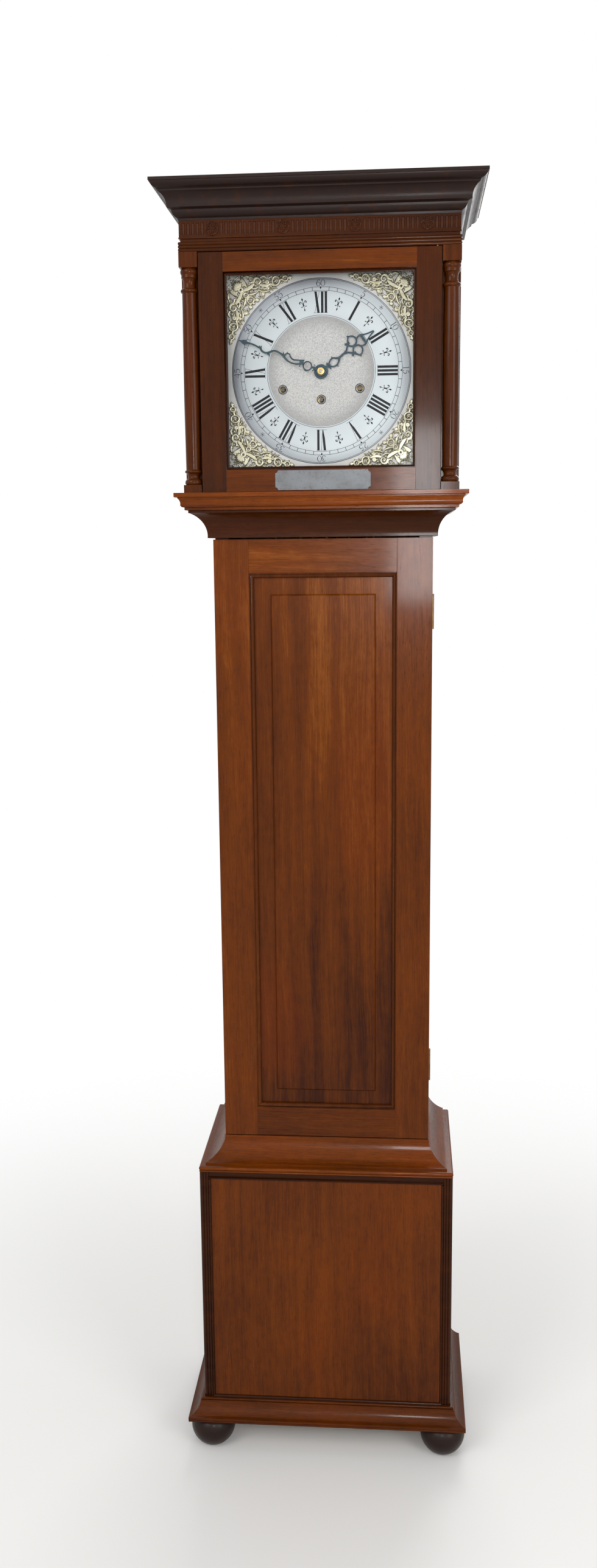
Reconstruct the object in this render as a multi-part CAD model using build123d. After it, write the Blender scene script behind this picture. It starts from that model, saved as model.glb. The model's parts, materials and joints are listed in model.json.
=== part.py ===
from build123d import *
import math
import os

# Longcase clock, in millimetres: +Z up, +X to the right seen from the front, front towards -Y.
# The origin is the middle of the clock's outline on the floor.
# Mouldings are given as points of half width and height. Their front runs stand as far in front of
# the trunk as their returns stand out at its sides, so every corner is a true mitre.
# A third number on a point bows the edge that arrives there: positive hollow, negative swelling.

# Case: the trunk's width and depth, and how far the wider parts stand out from what they join
TRUNK_WIDTH = 298.0
TRUNK_DEPTH = 185.0
BASE_OUT = 35.0
PLINTH_OUT = 22.0
HOOD_OUT = 33.0
CORNICE_OUT = 31.5
HOOD_BASE_OUT = 12.3
BASE_COVE_SETBACK = 0.7
THROAT_SETBACK = 4.2

# Case heights, from the floor up
FOOT_HEIGHT = 50.0
BASE_HEIGHT = 391.0
BASE_COVE_HEIGHT = 43.0
TRUNK_DOOR_HEIGHT = 864.0
THROAT_HEIGHT = 36.0
HOOD_BASE_HEIGHT = 23.0
BEAD_HEIGHT = 17.5
FRIEZE_HEIGHT = 20.5
CORNICE_HEIGHT = 46.0
PLINTH_HEIGHT = 28.6

# Moulding profiles: points out from and up from the lower inner edge of each run. Each is sized to
# the reach and the height of its moulding.
PLINTH_PROFILE = [
    (0, 0), (22, 0), (22, 2.8), (21.3, 3.1), (22, 3.4), (22, 6.5), (19, 7.2), (5.2, 24.6, 3.0),
    (5.2, 25.4), (3, 25.4), (3, 28.6, -1.3), (0, 28.6),
]
BASE_COVE_PROFILE = [
    (0, 0), (34.3, 0), (34.3, 2.4, -0.9), (33.6, 2.7), (33.2, 8, -2.2), (26.7, 8), (26.7, 11),
    (25, 11), (0.8, 37, 4.2), (0.5, 43), (0, 43),
]
THROAT_PROFILE = [
    (0, 0), (6.5, 0), (6.5, 1), (28, 33, 6.4), (28.8, 33), (28.8, 36), (0, 36),
]
HOOD_BASE_PROFILE = [
    (-24, 0), (-4, 0), (0, 0.8), (0, 4), (0.8, 4.4), (4.6, 6.6, -0.8), (5, 6.6), (8, 16, 1.4),
    (8, 17), (12, 17.4), (12.3, 18), (12.3, 23), (-24, 23),
]
BEAD_PROFILE = [
    (-14, 0), (-0.8, 0), (-0.8, 4, -1.1), (-0.8, 8, -1.1), (-0.8, 12, -1.1), (-2.6, 12.2),
    (-2.6, 15.6), (-0.6, 16), (-0.6, 17.5), (-14, 17.5),
]
FRIEZE_PROFILE = [(-14, 0), (-1.2, 0), (-1.2, 20.5), (-14, 20.5)]
CORNICE_PROFILE = [
    (-14, 0), (-0.8, 0), (-0.3, 2.6), (6.4, 10, -1.2), (6.8, 12), (12, 14), (12, 14.6),
    (21.3, 31.6, 2.9), (21.3, 33.4), (23, 34.6), (30.4, 42, -1.6), (31.5, 42.2), (31.5, 46),
    (-14, 46),
]

# Boards, gaps and fits
BOARD = 16.0
BACKBOARD = 12.0
TRUNK_SIDE = 18.0
HOOD_BOARD = 12.0
DOOR_GAP = 1.0
LEAF_GAP = 0.8
EASY_GAP = 2.0
SOFT_GAP = 0.3
FIT_GAP = 0.05

# Bun feet
FOOT_RADIUS = 33.0
FOOT_PAD_RADIUS = 15.0
FOOT_NECK_RADIUS = 21.0
FOOT_SWELL = 29.0
FOOT_NECK = 48.0
FOOT_SPIGOT_RADIUS = 8.0
FLOOR_BOARD = 18.0

# Reeded base corners and the beads round the front panel
REED_STRIP = 13.5
REED_COUNT = 3
REED_RISE = 1.2
BASE_TOP_RAIL = 8.0
BASE_BEAD = 3.0
PANEL_SETBACK = 2.0

# Trunk door
TRUNK_DOOR_THICK = 20.0
TRUNK_STILE = 48.0
TRUNK_TOP_RAIL = 46.0
TRUNK_BOTTOM_RAIL = 43.0
SIGHT_MOULDING = 6.5
PANEL_THICK = 7.0
PANEL_DEPTH = 6.5
PANEL_TONGUE = 6.0
FIELD_MARGIN = 29.0
FIELD_DROP = 2.0
FIELD_RISE = 3.0
FIELD_CHAMFER = 1.8
MOULDING_PROUD = 0.6
MOULDING_FLAT = 1.4
MOULDING_STEP = 2.0
MOULDING_DROP = 0.8
MOULDING_EDGE = 1.0
HINGE_LENGTH = 48.0
HINGE_LOW = 83.0
HINGE_HIGH = 76.0
HINGE_LEAF = 1.4
HINGE_LEAF_WIDTH = 14.0
KNUCKLE_RADIUS = 2.2
KNUCKLE_WEB = 1.0
HINGE_PIN_RADIUS = 1.1
KNUCKLE_COUNT = 5

# Hood door, columns and dial window
SIGHT = 250.0
HOOD_BOTTOM_RAIL = 28.5
HOOD_TOP_RAIL = 24.3
HOOD_DOOR_THICK = 20.0
HOOD_DOOR_SETBACK = 2.5
GLASS_THICK = 3.0
GLASS_DEPTH = 6.5
GLASS_LAP = 6.0
SIGHT_BEAD = 4.0
SIGHT_BEAD_FLAT = 1.2
SIGHT_BEAD_EDGE = 1.0
COLUMN_SQUARE = 24.0
COLUMN_TOP_BLOCK = 19.0
COLUMN_BOTTOM_BLOCK = 10.5
SHAFT_RADIUS = 10.8
COLUMN_FOOT = [
    (-0.4, 0), (-0.4, 7, -1.4), (-1.8, 8), (-1.4, 15, 1.2), (0.2, 16), (0.2, 19, -0.8), (-0.8, 20),
]
COLUMN_HEAD = [
    (-1.2, 31, -0.8), (0.1, 30), (0.1, 26, -0.9), (-2, 25), (-1.6, 13, 1.2), (-0.2, 12), (-0.2, 9),
    (-0.4, 8), (-0.4, 1, -1.4), (-0.8, 0),
]
MASK_THICK = 4.0
PIVOT_INSET = 6.0
PIVOT_DEPTH = 2.0
PIVOT_RADIUS = 1.4
PIVOT_LENGTH = 6.0
STRAP_LENGTH = 28.0
STRAP_WIDTH = 10.0
STRAP_THICK = 2.0
PLAQUE_WIDTH = 126.0
PLAQUE_HEIGHT = 25.5
PLAQUE_THICK = 1.2
PLAQUE_OFFSET = 3.0
PLAQUE_SCOOP = 3.5
PLAQUE_PIN_INSET = 3.5
PLAQUE_PIN_RADIUS = 0.9
PLAQUE_HEAD_RADIUS = 1.5
PLAQUE_HEAD = 0.8

# Frieze
FLUTE_PITCH = 6.1
FLUTE_RADIUS = 2.0
FLUTE_DEPTH = 1.2
FLUTE_HEIGHT = 14.5
ROUNDEL_SPACING = 92.0
ROUNDEL_COUNT = 4
ROUNDEL_RADIUS = 9.0
ROUNDEL_RISE = 0.9
ROUNDEL_RIM = 1.2
ROUNDEL_SPACE = 12.3

# Dial
DIAL_SIZE = 254.0
DIAL_THICK = 2.0
DIAL_LIFT = 1.5
DIAL_BEHIND_HOOD = 31.0
DIAL_HOLE = 6.0
WINDING_HOLE = 4.4
FERRULE_RADIUS = 5.9
FERRULE_RISE = 0.8
CHAPTER_RADIUS = 118.0
SPANDREL_RISE = 3.0
SPANDREL_EDGE = 5.0
SPANDREL_GAP = 3.0
SPANDREL_REACH = 78.0

# Movement
DIAL_FOOT = 24.0
PLATE_THICK = 3.0
PLATE_SPACING = 52.0
PLATE_WIDTH = 184.0
PLATE_TOP = 76.0
PLATE_BOTTOM = 82.0
PILLAR_RADIUS = 4.0
PILLAR_INSET = 8.0
DIAL_FOOT_RADIUS = 3.0
SEAT_THICK = 18.0
SEAT_FRONT_REACH = 8.0
SEAT_REAR_REACH = 7.0
SIDE_ARBOR_OUT = 51.0
SIDE_ARBOR_DROP = 22.0
GOING_ARBOR_DROP = 35.4
ARBOR_RADIUS = 1.5
DRUM_ARBOR_RADIUS = 3.0
WINDING_SQUARE = 4.4
SQUARE_SETBACK = 0.5
PIVOT_STAND = 1.0
WHEEL_THICK = 1.8
PINION_LENGTH = 5.0
WHEEL_RIM = 3.2
WHEEL_HUB = 4.0
GREAT_RIM = 5.0
GREAT_HUB = 10.0
END_SHAKE = 0.3
WHEEL_SETBACK = 1.0
PLATE_CORNER = 6.0
PALLET_CLEARANCE = 3.0
SEAT_BOLT_RADIUS = 2.5
SEAT_BOLT_HEAD = 6.0
SEAT_BOLT_THICK = 4.0
LINE_HOLE = 4.0

# Trains
GREAT_TEETH = 84
CENTRE_LEAVES = 7
CENTRE_TEETH = 60
THIRD_LEAVES = 8
THIRD_TEETH = 56
ESCAPE_LEAVES = 7
ESCAPE_TEETH = 30
ESCAPE_RADIUS = 17.0
CENTRE_MODULE = 0.6
THIRD_MODULE = 0.62
ESCAPE_TOOTH = 3.2
CANNON_TEETH = 30
MINUTE_LEAVES = 6
HOUR_TEETH = 72
MINUTE_ARBOR_OUT = 22.0
MOTION_GAP = 5.0
PIPE_WALL = 1.2
HOUR_RIM = 3.0
HOUR_HUB = 7.0
STUD_RADIUS = 0.9
STUD_STAND = 2.0

# Drums, lines and weights
DRUM_LINE_RADIUS = 17.5
DRUM_LENGTH = 36.0
DRUM_FLANGE_RISE = 2.3
DRUM_FLANGE = 1.5
DRUM_GAP = 0.5
CLICK_SPACE = 1.4
DRUM_TURNS = 14
LINE_RADIUS = 0.75
PULLEY_THICK = 7.0
PULLEY_RIM = 2.0
PULLEY_AXLE = 2.0
STIRRUP_THICK = 1.5
STIRRUP_GAP = 0.6
STIRRUP_HALF = 4.0
STIRRUP_RISE = 5.0
STIRRUP_CLEARANCE = 1.5
CROSSBAR_HALF = 6.0
CROSSBAR_THICK = 3.0
AXLE_STAND = 1.0
HOOK_LENGTH = 10.0
HOOK_RADIUS = 2.5
WEIGHT_RADIUS = 23.0
WEIGHT_LENGTH = 240.0
WEIGHT_ROUND = 3.0
WEIGHT_TOP_GAP = 43.0

# Pendulum and escapement
PENDULUM_LENGTH = 994.0
ROD_RADIUS = 3.5
BOB_RADIUS = 55.0
BOB_HALF_THICK = 13.0
BOB_RIM = 2.0
BOB_SWELL = 5.0
SPRING_HALF_THICK = 0.15
SPRING_HALF_WIDTH = 3.0
SPRING_DROP = 14.0
SPRING_RISE = 8.0
CHOP_HALF = 4.0
CHOP_FOOT = 6.3
CHOP_TOP = 12.0
RATING_NUT_RADIUS = 7.0
RATING_NUT_HEIGHT = 5.5
RATING_NUT_GAP = 6.0
ROD_TAIL = 8.0
ANCHOR_ABOVE_ESCAPE = 24.0
ANCHOR_HUB = 4.3
PALLET_OUTLINE = [
    (-0.45, 0.25), (0.45, 0.25), (0.45, 4.6), (-10, 4.6), (-16, 3.4), (-18, 0), (-15, 0), (-12, 2.2),
    (-0.45, 2.2),
]
PALLET_OVERLAP = 0.6
CRUTCH_THICK = 2.0
CRUTCH_LENGTH = 72.0
COCK_DEPTH = 24.0
COCK_HALF = 22.0
COCK_FOOT = 5.0
COCK_RISE = 6.0
COCK_SLOT = 0.6
COCK_BEARING = 3.5

# Hands
MINUTE_HAND = 116.5
HOUR_HAND = 87.0
HAND_THICK = 1.2
MINUTE_ANGLE = 290.4
HOUR_ANGLE = 54.2
HOUR_BOSS = 8.6
MINUTE_BOSS = 6.0
NUT_RADIUS = 4.8
NUT_LENGTH = 3.0

# Blades: points of half width and distance from the centre. Rings: side, distance, radius and bore
HOUR_BLADE = [(2.0, 0), (1.2, 30.0), (6.5, 44.0), (1.4, 58.0), (0.8, HOUR_HAND)]
HOUR_RINGS = [(-6.0, 34.0, 5.0, 3.4), (6.0, 34.0, 5.0, 3.4), (-6.0, 52.0, 5.5, 3.9), (6.0, 52.0, 5.5, 3.9)]
MINUTE_BLADE = [(1.8, 0), (2.6, 24.0), (0.8, 60.0), (0.3, MINUTE_HAND)]
MINUTE_RINGS = [(3.4, 30.0, 4.2, 2.8), (-3.4, 41.0, 4.2, 2.8)]

# Chime
ROD_COUNT = 5
ROD_PITCH = 10.0
CHIME_ROD_RADIUS = 2.0
CHIME_ROD_LENGTH = 330.0
CHIME_ROD_STEP = 14.0
CHIME_OUT = 66.0
CHIME_BLOCK_HEIGHT = 24.0
CHIME_BLOCK_RISE = 46.0
CHIME_ROD_STAND = 12.0
CHIME_BLOCK_FRONT = 8.0
HAMMER_RADIUS = 4.0
HAMMER_LENGTH = 12.0
HAMMER_GAP = 5.0
HAMMER_RISE = 44.0
HAMMER_ARM = 2.0
HAMMER_ARBOR_RADIUS = 1.5
HAMMER_AXIS_DROP = 20.0
HAMMER_AXIS_STAND = 8.0
BRACKET_THICK = 3.0
BRACKET_RISE = 4.0

# Levels and planes that follow from the sizes above
TRUNK_HALF = TRUNK_WIDTH / 2
BASE_HALF = TRUNK_HALF + BASE_OUT
PLINTH_HALF = BASE_HALF + PLINTH_OUT
HOOD_HALF = TRUNK_HALF + HOOD_OUT
CORNICE_HALF = HOOD_HALF + CORNICE_OUT
BASE_COVE_OUT = BASE_OUT - BASE_COVE_SETBACK
THROAT_OUT = HOOD_OUT - THROAT_SETBACK
TRUNK_FRONT_Y = (CORNICE_HALF - TRUNK_HALF - TRUNK_DEPTH) / 2
REAR_Y = TRUNK_FRONT_Y + TRUNK_DEPTH
MITRE_SUM = TRUNK_HALF + TRUNK_FRONT_Y
BASE_TOP_Z = FOOT_HEIGHT + BASE_HEIGHT
TRUNK_DOOR_Z = BASE_TOP_Z + BASE_COVE_HEIGHT + DOOR_GAP
TRUNK_DOOR_TOP_Z = TRUNK_DOOR_Z + TRUNK_DOOR_HEIGHT
THROAT_Z = TRUNK_DOOR_TOP_Z + EASY_GAP
HOOD_Z = THROAT_Z + THROAT_HEIGHT
HOOD_BODY_Z = HOOD_Z + HOOD_BASE_HEIGHT
HOOD_DOOR_Z = HOOD_BODY_Z + LEAF_GAP
HOOD_DOOR_TOP_Z = HOOD_DOOR_Z + HOOD_BOTTOM_RAIL + SIGHT + HOOD_TOP_RAIL
BEAD_Z = HOOD_DOOR_TOP_Z + LEAF_GAP
FRIEZE_Z = BEAD_Z + BEAD_HEIGHT
CORNICE_Z = FRIEZE_Z + FRIEZE_HEIGHT
TOP_Z = CORNICE_Z + CORNICE_HEIGHT
SIGHT_Z = HOOD_DOOR_Z + HOOD_BOTTOM_RAIL
DIAL_Z = SIGHT_Z + SIGHT / 2 + DIAL_LIFT
HOOD_FRONT_Y = MITRE_SUM - HOOD_HALF
HOOD_DOOR_Y = HOOD_FRONT_Y + HOOD_DOOR_SETBACK
HOOD_DOOR_HALF = HOOD_HALF - COLUMN_SQUARE - LEAF_GAP
COLUMN_BACK_Y = HOOD_FRONT_Y + COLUMN_SQUARE
DIAL_Y = HOOD_FRONT_Y + DIAL_BEHIND_HOOD
DIAL_BACK_Y = DIAL_Y + DIAL_THICK
FRONT_PLATE_Y = DIAL_BACK_Y + DIAL_FOOT
INSIDE_Y = FRONT_PLATE_Y + PLATE_THICK
BACK_PLATE_Y = INSIDE_Y + PLATE_SPACING
BEHIND_Y = BACK_PLATE_Y + PLATE_THICK
PENDULUM_Y = BEHIND_Y + COCK_DEPTH * 3 / 4
BACKBOARD_Y = REAR_Y - BACKBOARD
SEAT_TOP_Z = DIAL_Z - PLATE_BOTTOM
SEAT_Z = SEAT_TOP_Z - SEAT_THICK
DRUM_MID_Y = INSIDE_Y + PLATE_SPACING / 2
GREAT_MODULE = 2 * GOING_ARBOR_DROP / (GREAT_TEETH + CENTRE_LEAVES)
THIRD_Z = DIAL_Z + CENTRE_MODULE * (CENTRE_TEETH + THIRD_LEAVES) / 2
ESCAPE_Z = THIRD_Z + THIRD_MODULE * (THIRD_TEETH + ESCAPE_LEAVES) / 2
ANCHOR_Z = ESCAPE_Z + ANCHOR_ABOVE_ESCAPE
GOING_Z = DIAL_Z - GOING_ARBOR_DROP
SIDE_Z = DIAL_Z - SIDE_ARBOR_DROP
MINUTE_ARBOR = MINUTE_ARBOR_OUT / math.sqrt(2)
WEIGHT_LIFT = DRUM_TURNS * math.pi * DRUM_LINE_RADIUS
PULLEY_OUTER = DRUM_LINE_RADIUS + PULLEY_RIM
PULLEY_Z = SEAT_Z - WEIGHT_TOP_GAP - WEIGHT_LIFT
BOB_Z = ANCHOR_Z - PENDULUM_LENGTH
HINGE_X = TRUNK_HALF + SOFT_GAP
HINGE_Y = TRUNK_FRONT_Y + TRUNK_DOOR_THICK + LEAF_GAP / 2
SIDE_FRONT_Y = TRUNK_FRONT_Y + TRUNK_DOOR_THICK + LEAF_GAP
TRAINS = {
    "strike": (-SIDE_ARBOR_OUT, SIDE_Z),
    "going": (0.0, GOING_Z),
    "chime": (SIDE_ARBOR_OUT, SIDE_Z),
}


def block(x0, x1, y0, y1, z0, z1):
    centre = Pos((x0 + x1) / 2, (y0 + y1) / 2, (z0 + z1) / 2)
    return centre * Box(x1 - x0, y1 - y0, z1 - z0)


def arbor(radius, x, z, y0, y1):
    """Round bar from front to back."""
    return Pos(x, (y0 + y1) / 2, z) * Rot(90, 0, 0) * Cylinder(radius, y1 - y0)


def upright(radius, x, y, z0, z1):
    return Pos(x, y, (z0 + z1) / 2) * Cylinder(radius, z1 - z0)


def outline(points):
    """Closed face from (u, v) points. A third number bows the edge that arrives there."""
    edges = []
    for start, end in zip(points[-1:] + points[:-1], points):
        if len(end) == 3:
            edges.append(SagittaArc(start[:2], end[:2], end[2]))
        else:
            edges.append(Line(start[:2], end[:2]))
    return make_face(edges)


def slab(sketch, y0, y1):
    """A front-view outline, given in x and z, made solid between two depths."""
    return extrude(Pos(0, y0, 0) * (Plane.XZ * sketch), y1 - y0, dir=(0, 1, 0))


def turned(points, x, y, z):
    """Solid of revolution about an upright axis from radius and height points."""
    return Pos(x, y, z) * revolve(Plane.XZ * outline(points), Axis.Z)


def both_sides(shape):
    return [shape, mirror(shape, about=Plane.YZ)]


def fitted(profile, reach, height):
    """A moulding profile that stands out by the reach and fills the height."""
    wide = max(point[0] for point in profile)
    tall = max(point[1] for point in profile)
    return [(out * reach / wide if out > 0 else out, up * height / tall, *bow) for out, up, *bow in profile]


def moulding(profile, half, z):
    """Front run and two returns of a profile set at a half width and a level, mitred."""
    points = [(half + out, z + up, *bow) for out, up, *bow in profile]
    mitre = Plane(origin=(TRUNK_HALF, TRUNK_FRONT_Y, 0), z_dir=(1, 1, 0))
    other = Plane(origin=(-TRUNK_HALF, TRUNK_FRONT_Y, 0), z_dir=(-1, 1, 0))
    widest = max(point[0] for point in points)
    across = [(MITRE_SUM - point[0], point[1], *[-bow for bow in point[2:]]) for point in points]
    front = extrude(Pos(-widest, 0, 0) * (Plane.YZ * outline(across)), 2 * widest, dir=(1, 0, 0))
    front = split(front, bisect_by=mitre, keep=Keep.BOTTOM)
    front = split(front, bisect_by=other, keep=Keep.BOTTOM)
    run = REAR_Y - MITRE_SUM + widest
    side = extrude(Pos(0, REAR_Y, 0) * (Plane.XZ * outline(points)), run, dir=(0, -1, 0))
    side = split(side, bisect_by=mitre, keep=Keep.TOP)
    return [front, *both_sides(side)]


def frame_strips(points, half, z0, z1):
    """Four mitred strips round a window, from points of inset and depth."""
    mid_z = (z0 + z1) / 2
    tall = (z1 - z0) / 2
    upright_face = outline([(half - point[0], *point[1:]) for point in points])
    side = extrude(Pos(0, 0, z0) * upright_face, z1 - z0, dir=(0, 0, 1))
    level_face = outline([(point[1], tall - point[0], *[-bow for bow in point[2:]]) for point in points])
    top = extrude(Pos(-half, 0, mid_z) * (Plane.YZ * level_face), 2 * half, dir=(1, 0, 0))
    strips = []
    for sign in (1, -1):
        corner = Plane(origin=(sign * half, 0, z1), z_dir=(sign, 0, -1))
        top = split(top, bisect_by=corner, keep=Keep.BOTTOM)
        cut = Plane(origin=(half, 0, mid_z + sign * tall), z_dir=(-1, 0, sign))
        side = split(side, bisect_by=cut, keep=Keep.BOTTOM)
    middle = Plane(origin=(0, 0, mid_z), z_dir=(0, 0, 1))
    strips += both_sides(side)
    strips += [top, mirror(top, about=middle)]
    return strips


def save(node, *shapes):
    solids = [solid for shape in shapes for solid in shape.solids()]
    export_step(Compound(solids), f"parts/{node}.step")


def make_feet():
    profile = [
        (0, 0),
        (FOOT_PAD_RADIUS, 0),
        (FOOT_RADIUS, FOOT_SWELL, -4.8),
        (FOOT_NECK_RADIUS, FOOT_NECK, -3.1),
        (FOOT_NECK_RADIUS, FOOT_HEIGHT),
        (FOOT_SPIGOT_RADIUS, FOOT_HEIGHT),
        (FOOT_SPIGOT_RADIUS, FOOT_HEIGHT + FLOOR_BOARD),
        (0, FOOT_HEIGHT + FLOOR_BOARD),
    ]
    front_y = MITRE_SUM - PLINTH_HALF + FOOT_RADIUS
    feet = []
    for y in (front_y, REAR_Y - FOOT_RADIUS):
        feet += both_sides(turned(profile, PLINTH_HALF - FOOT_RADIUS, y, 0))
    save("bun_feet", *feet)
    return [(PLINTH_HALF - FOOT_RADIUS, front_y), (PLINTH_HALF - FOOT_RADIUS, REAR_Y - FOOT_RADIUS)]


def make_base(foot_places):
    """Bottom board on the feet, panels on the board, plinth moulding round the board's edge."""
    front_y = MITRE_SUM - BASE_HALF
    panel_y = front_y + PANEL_SETBACK
    corner = BASE_HALF - REED_STRIP
    board_top = FOOT_HEIGHT + FLOOR_BOARD
    plinth = fitted(PLINTH_PROFILE, PLINTH_OUT, PLINTH_HEIGHT)
    save("plinth_moulding", *moulding(plinth, BASE_HALF, FOOT_HEIGHT))
    floor = block(-BASE_HALF, BASE_HALF, front_y, REAR_Y, FOOT_HEIGHT, board_top)
    for x, y in foot_places:
        for side in (x, -x):
            floor -= upright(FOOT_SPIGOT_RADIUS + FIT_GAP, side, y, FOOT_HEIGHT, board_top)
    save("base_floor", floor)
    front = block(-corner, corner, panel_y, panel_y + BOARD, board_top, BASE_TOP_Z)
    rail = block(-corner, corner, panel_y, panel_y + BOARD, BASE_TOP_Z - BASE_TOP_RAIL, BASE_TOP_Z)
    save("base_front_panel", front - rail)
    side = block(BASE_HALF - BOARD, BASE_HALF, front_y + REED_STRIP, REAR_Y, board_top, BASE_TOP_Z)
    save("base_side_panels", *both_sides(side - front))
    save("base_reeded_trim", *make_reeds(front_y, corner, panel_y), rail)


def make_reeds(front_y, corner, panel_y):
    """Two reeded corner strips and a bead round the front panel, in four lengths."""
    step = (REED_STRIP - REED_RISE) / REED_COUNT
    edge = BASE_HALF - REED_RISE
    face_y = front_y + REED_RISE
    section = [(corner, front_y + REED_STRIP), (corner, face_y)]
    section += [(corner + step * (i + 1), face_y, -REED_RISE) for i in range(REED_COUNT)]
    section += [(edge, face_y + step * (i + 1), -REED_RISE) for i in range(REED_COUNT)]
    low = FOOT_HEIGHT + PLINTH_HEIGHT
    high = BASE_TOP_Z - BASE_TOP_RAIL
    foot = FOOT_HEIGHT + FLOOR_BOARD
    strip = extrude(Pos(0, 0, foot) * outline(section), BASE_TOP_Z - foot, dir=(0, 0, 1))
    bead = quadrant(BASE_BEAD)
    level = Pos(-corner, panel_y, low) * (Plane.YZ * bead)
    low_bead = extrude(level, 2 * corner, dir=(1, 0, 0))
    high_bead = mirror(low_bead, about=Plane(origin=(0, 0, (low + high) / 2), z_dir=(0, 0, 1)))
    across = Pos(corner, panel_y, low + BASE_BEAD) * (Rot(0, 0, 90) * bead)
    side_bead = extrude(across, high - low - 2 * BASE_BEAD, dir=(0, 0, 1))
    return [*both_sides(strip), low_bead, high_bead, *both_sides(side_bead)]


def quadrant(size):
    """Quarter-round section in the corner between a face and an edge."""
    return outline([(0, 0), (0, size), (-size, 0, -size * 0.29)])


def make_case_mouldings():
    base_cove = fitted(BASE_COVE_PROFILE, BASE_COVE_OUT, BASE_COVE_HEIGHT)
    save("base_cove_moulding", *moulding(base_cove, TRUNK_HALF, BASE_TOP_Z))
    throat = fitted(THROAT_PROFILE, THROAT_OUT, THROAT_HEIGHT)
    save("throat_moulding", *moulding(throat, TRUNK_HALF, THROAT_Z))


def make_carcase():
    inner = TRUNK_HALF - TRUNK_SIDE
    foot = BASE_TOP_Z - BASE_COVE_HEIGHT
    base_inner = BASE_HALF - BOARD
    hood_inner = HOOD_HALF - HOOD_BOARD - EASY_GAP
    shoulder = HOOD_BODY_Z + EASY_GAP
    frame_inner = HOOD_HALF + CORNICE_PROFILE[0][0] - EASY_GAP
    right = [
        (base_inner, FOOT_HEIGHT + FLOOR_BOARD),
        (base_inner, BASE_TOP_Z),
        (inner, BASE_TOP_Z),
        (inner, shoulder),
        (hood_inner, shoulder),
        (hood_inner, BEAD_Z - EASY_GAP),
        (frame_inner, BEAD_Z - EASY_GAP),
        (frame_inner, TOP_Z - HOOD_BOARD - EASY_GAP),
    ]
    left = [(-x, z) for x, z in reversed(right)]
    board = slab(outline(right + left), BACKBOARD_Y, REAR_Y)
    save("backboard", board)
    side = block(inner, TRUNK_HALF, SIDE_FRONT_Y, REAR_Y, foot, SEAT_Z) - board
    side -= hinge_notches(HINGE_Y + LEAF_GAP / 2, HINGE_Y + LEAF_GAP / 2 + HINGE_LEAF)
    rail_top = BASE_TOP_Z + BASE_COVE_HEIGHT
    low_rail = block(-inner, inner, TRUNK_FRONT_Y, SIDE_FRONT_Y, foot, rail_top)
    low_rail += both_sides(block(inner, TRUNK_HALF, TRUNK_FRONT_Y, SIDE_FRONT_Y, BASE_TOP_Z, rail_top))
    top_rail = block(-TRUNK_HALF, TRUNK_HALF, TRUNK_FRONT_Y, SIDE_FRONT_Y, THROAT_Z, HOOD_Z)
    save("trunk_carcase", *both_sides(side), low_rail, top_rail)


def hinge_heights():
    return [TRUNK_DOOR_Z + HINGE_LOW, TRUNK_DOOR_TOP_Z - HINGE_HIGH - HINGE_LENGTH]


def hinge_notches(y0, y1):
    """Room in the wood for both hinges: a flat housing for the leaf and a groove for the knuckles."""
    cuts = []
    for z in hinge_heights():
        cuts.append(block(HINGE_X - HINGE_LEAF_WIDTH, HINGE_X, y0, y1, z, z + HINGE_LENGTH))
        cuts.append(upright(KNUCKLE_RADIUS + SOFT_GAP, HINGE_X, HINGE_Y, z, z + HINGE_LENGTH))
    return cuts


def make_hinges():
    """Butt hinges: odd knuckles and the pin stay on the case, even knuckles swing with the door."""
    step = HINGE_LENGTH / KNUCKLE_COUNT
    fixed = []
    swinging = []
    fixed_y = HINGE_Y + LEAF_GAP / 2
    swinging_y = HINGE_Y - LEAF_GAP / 2 - HINGE_LEAF
    for z in hinge_heights():
        pin = upright(HINGE_PIN_RADIUS, HINGE_X, HINGE_Y, z, z + HINGE_LENGTH)
        for group, parity, y in ((fixed, 0, fixed_y), (swinging, 1, swinging_y)):
            leaf = block(HINGE_X - HINGE_LEAF_WIDTH, HINGE_X, y, y + HINGE_LEAF, z, z + HINGE_LENGTH)
            leaf -= upright(KNUCKLE_RADIUS + SOFT_GAP, HINGE_X, HINGE_Y, z, z + HINGE_LENGTH)
            for i in range(KNUCKLE_COUNT):
                if i % 2 != parity:
                    continue
                low = z + i * step + FIT_GAP
                high = z + (i + 1) * step - FIT_GAP
                inner_x = HINGE_X - KNUCKLE_RADIUS - KNUCKLE_WEB
                web = block(inner_x, HINGE_X, y, y + HINGE_LEAF, low, high)
                knuckle = upright(KNUCKLE_RADIUS, HINGE_X, HINGE_Y, low, high) + web
                leaf += knuckle
            leaf -= upright(HINGE_PIN_RADIUS + FIT_GAP, HINGE_X, HINGE_Y, z, z + HINGE_LENGTH)
            group.append(leaf)
        fixed.append(pin)
    save("trunk_hinge_fixed_leaves", *fixed)
    save("trunk_door_hinge_leaves", *swinging)


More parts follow.
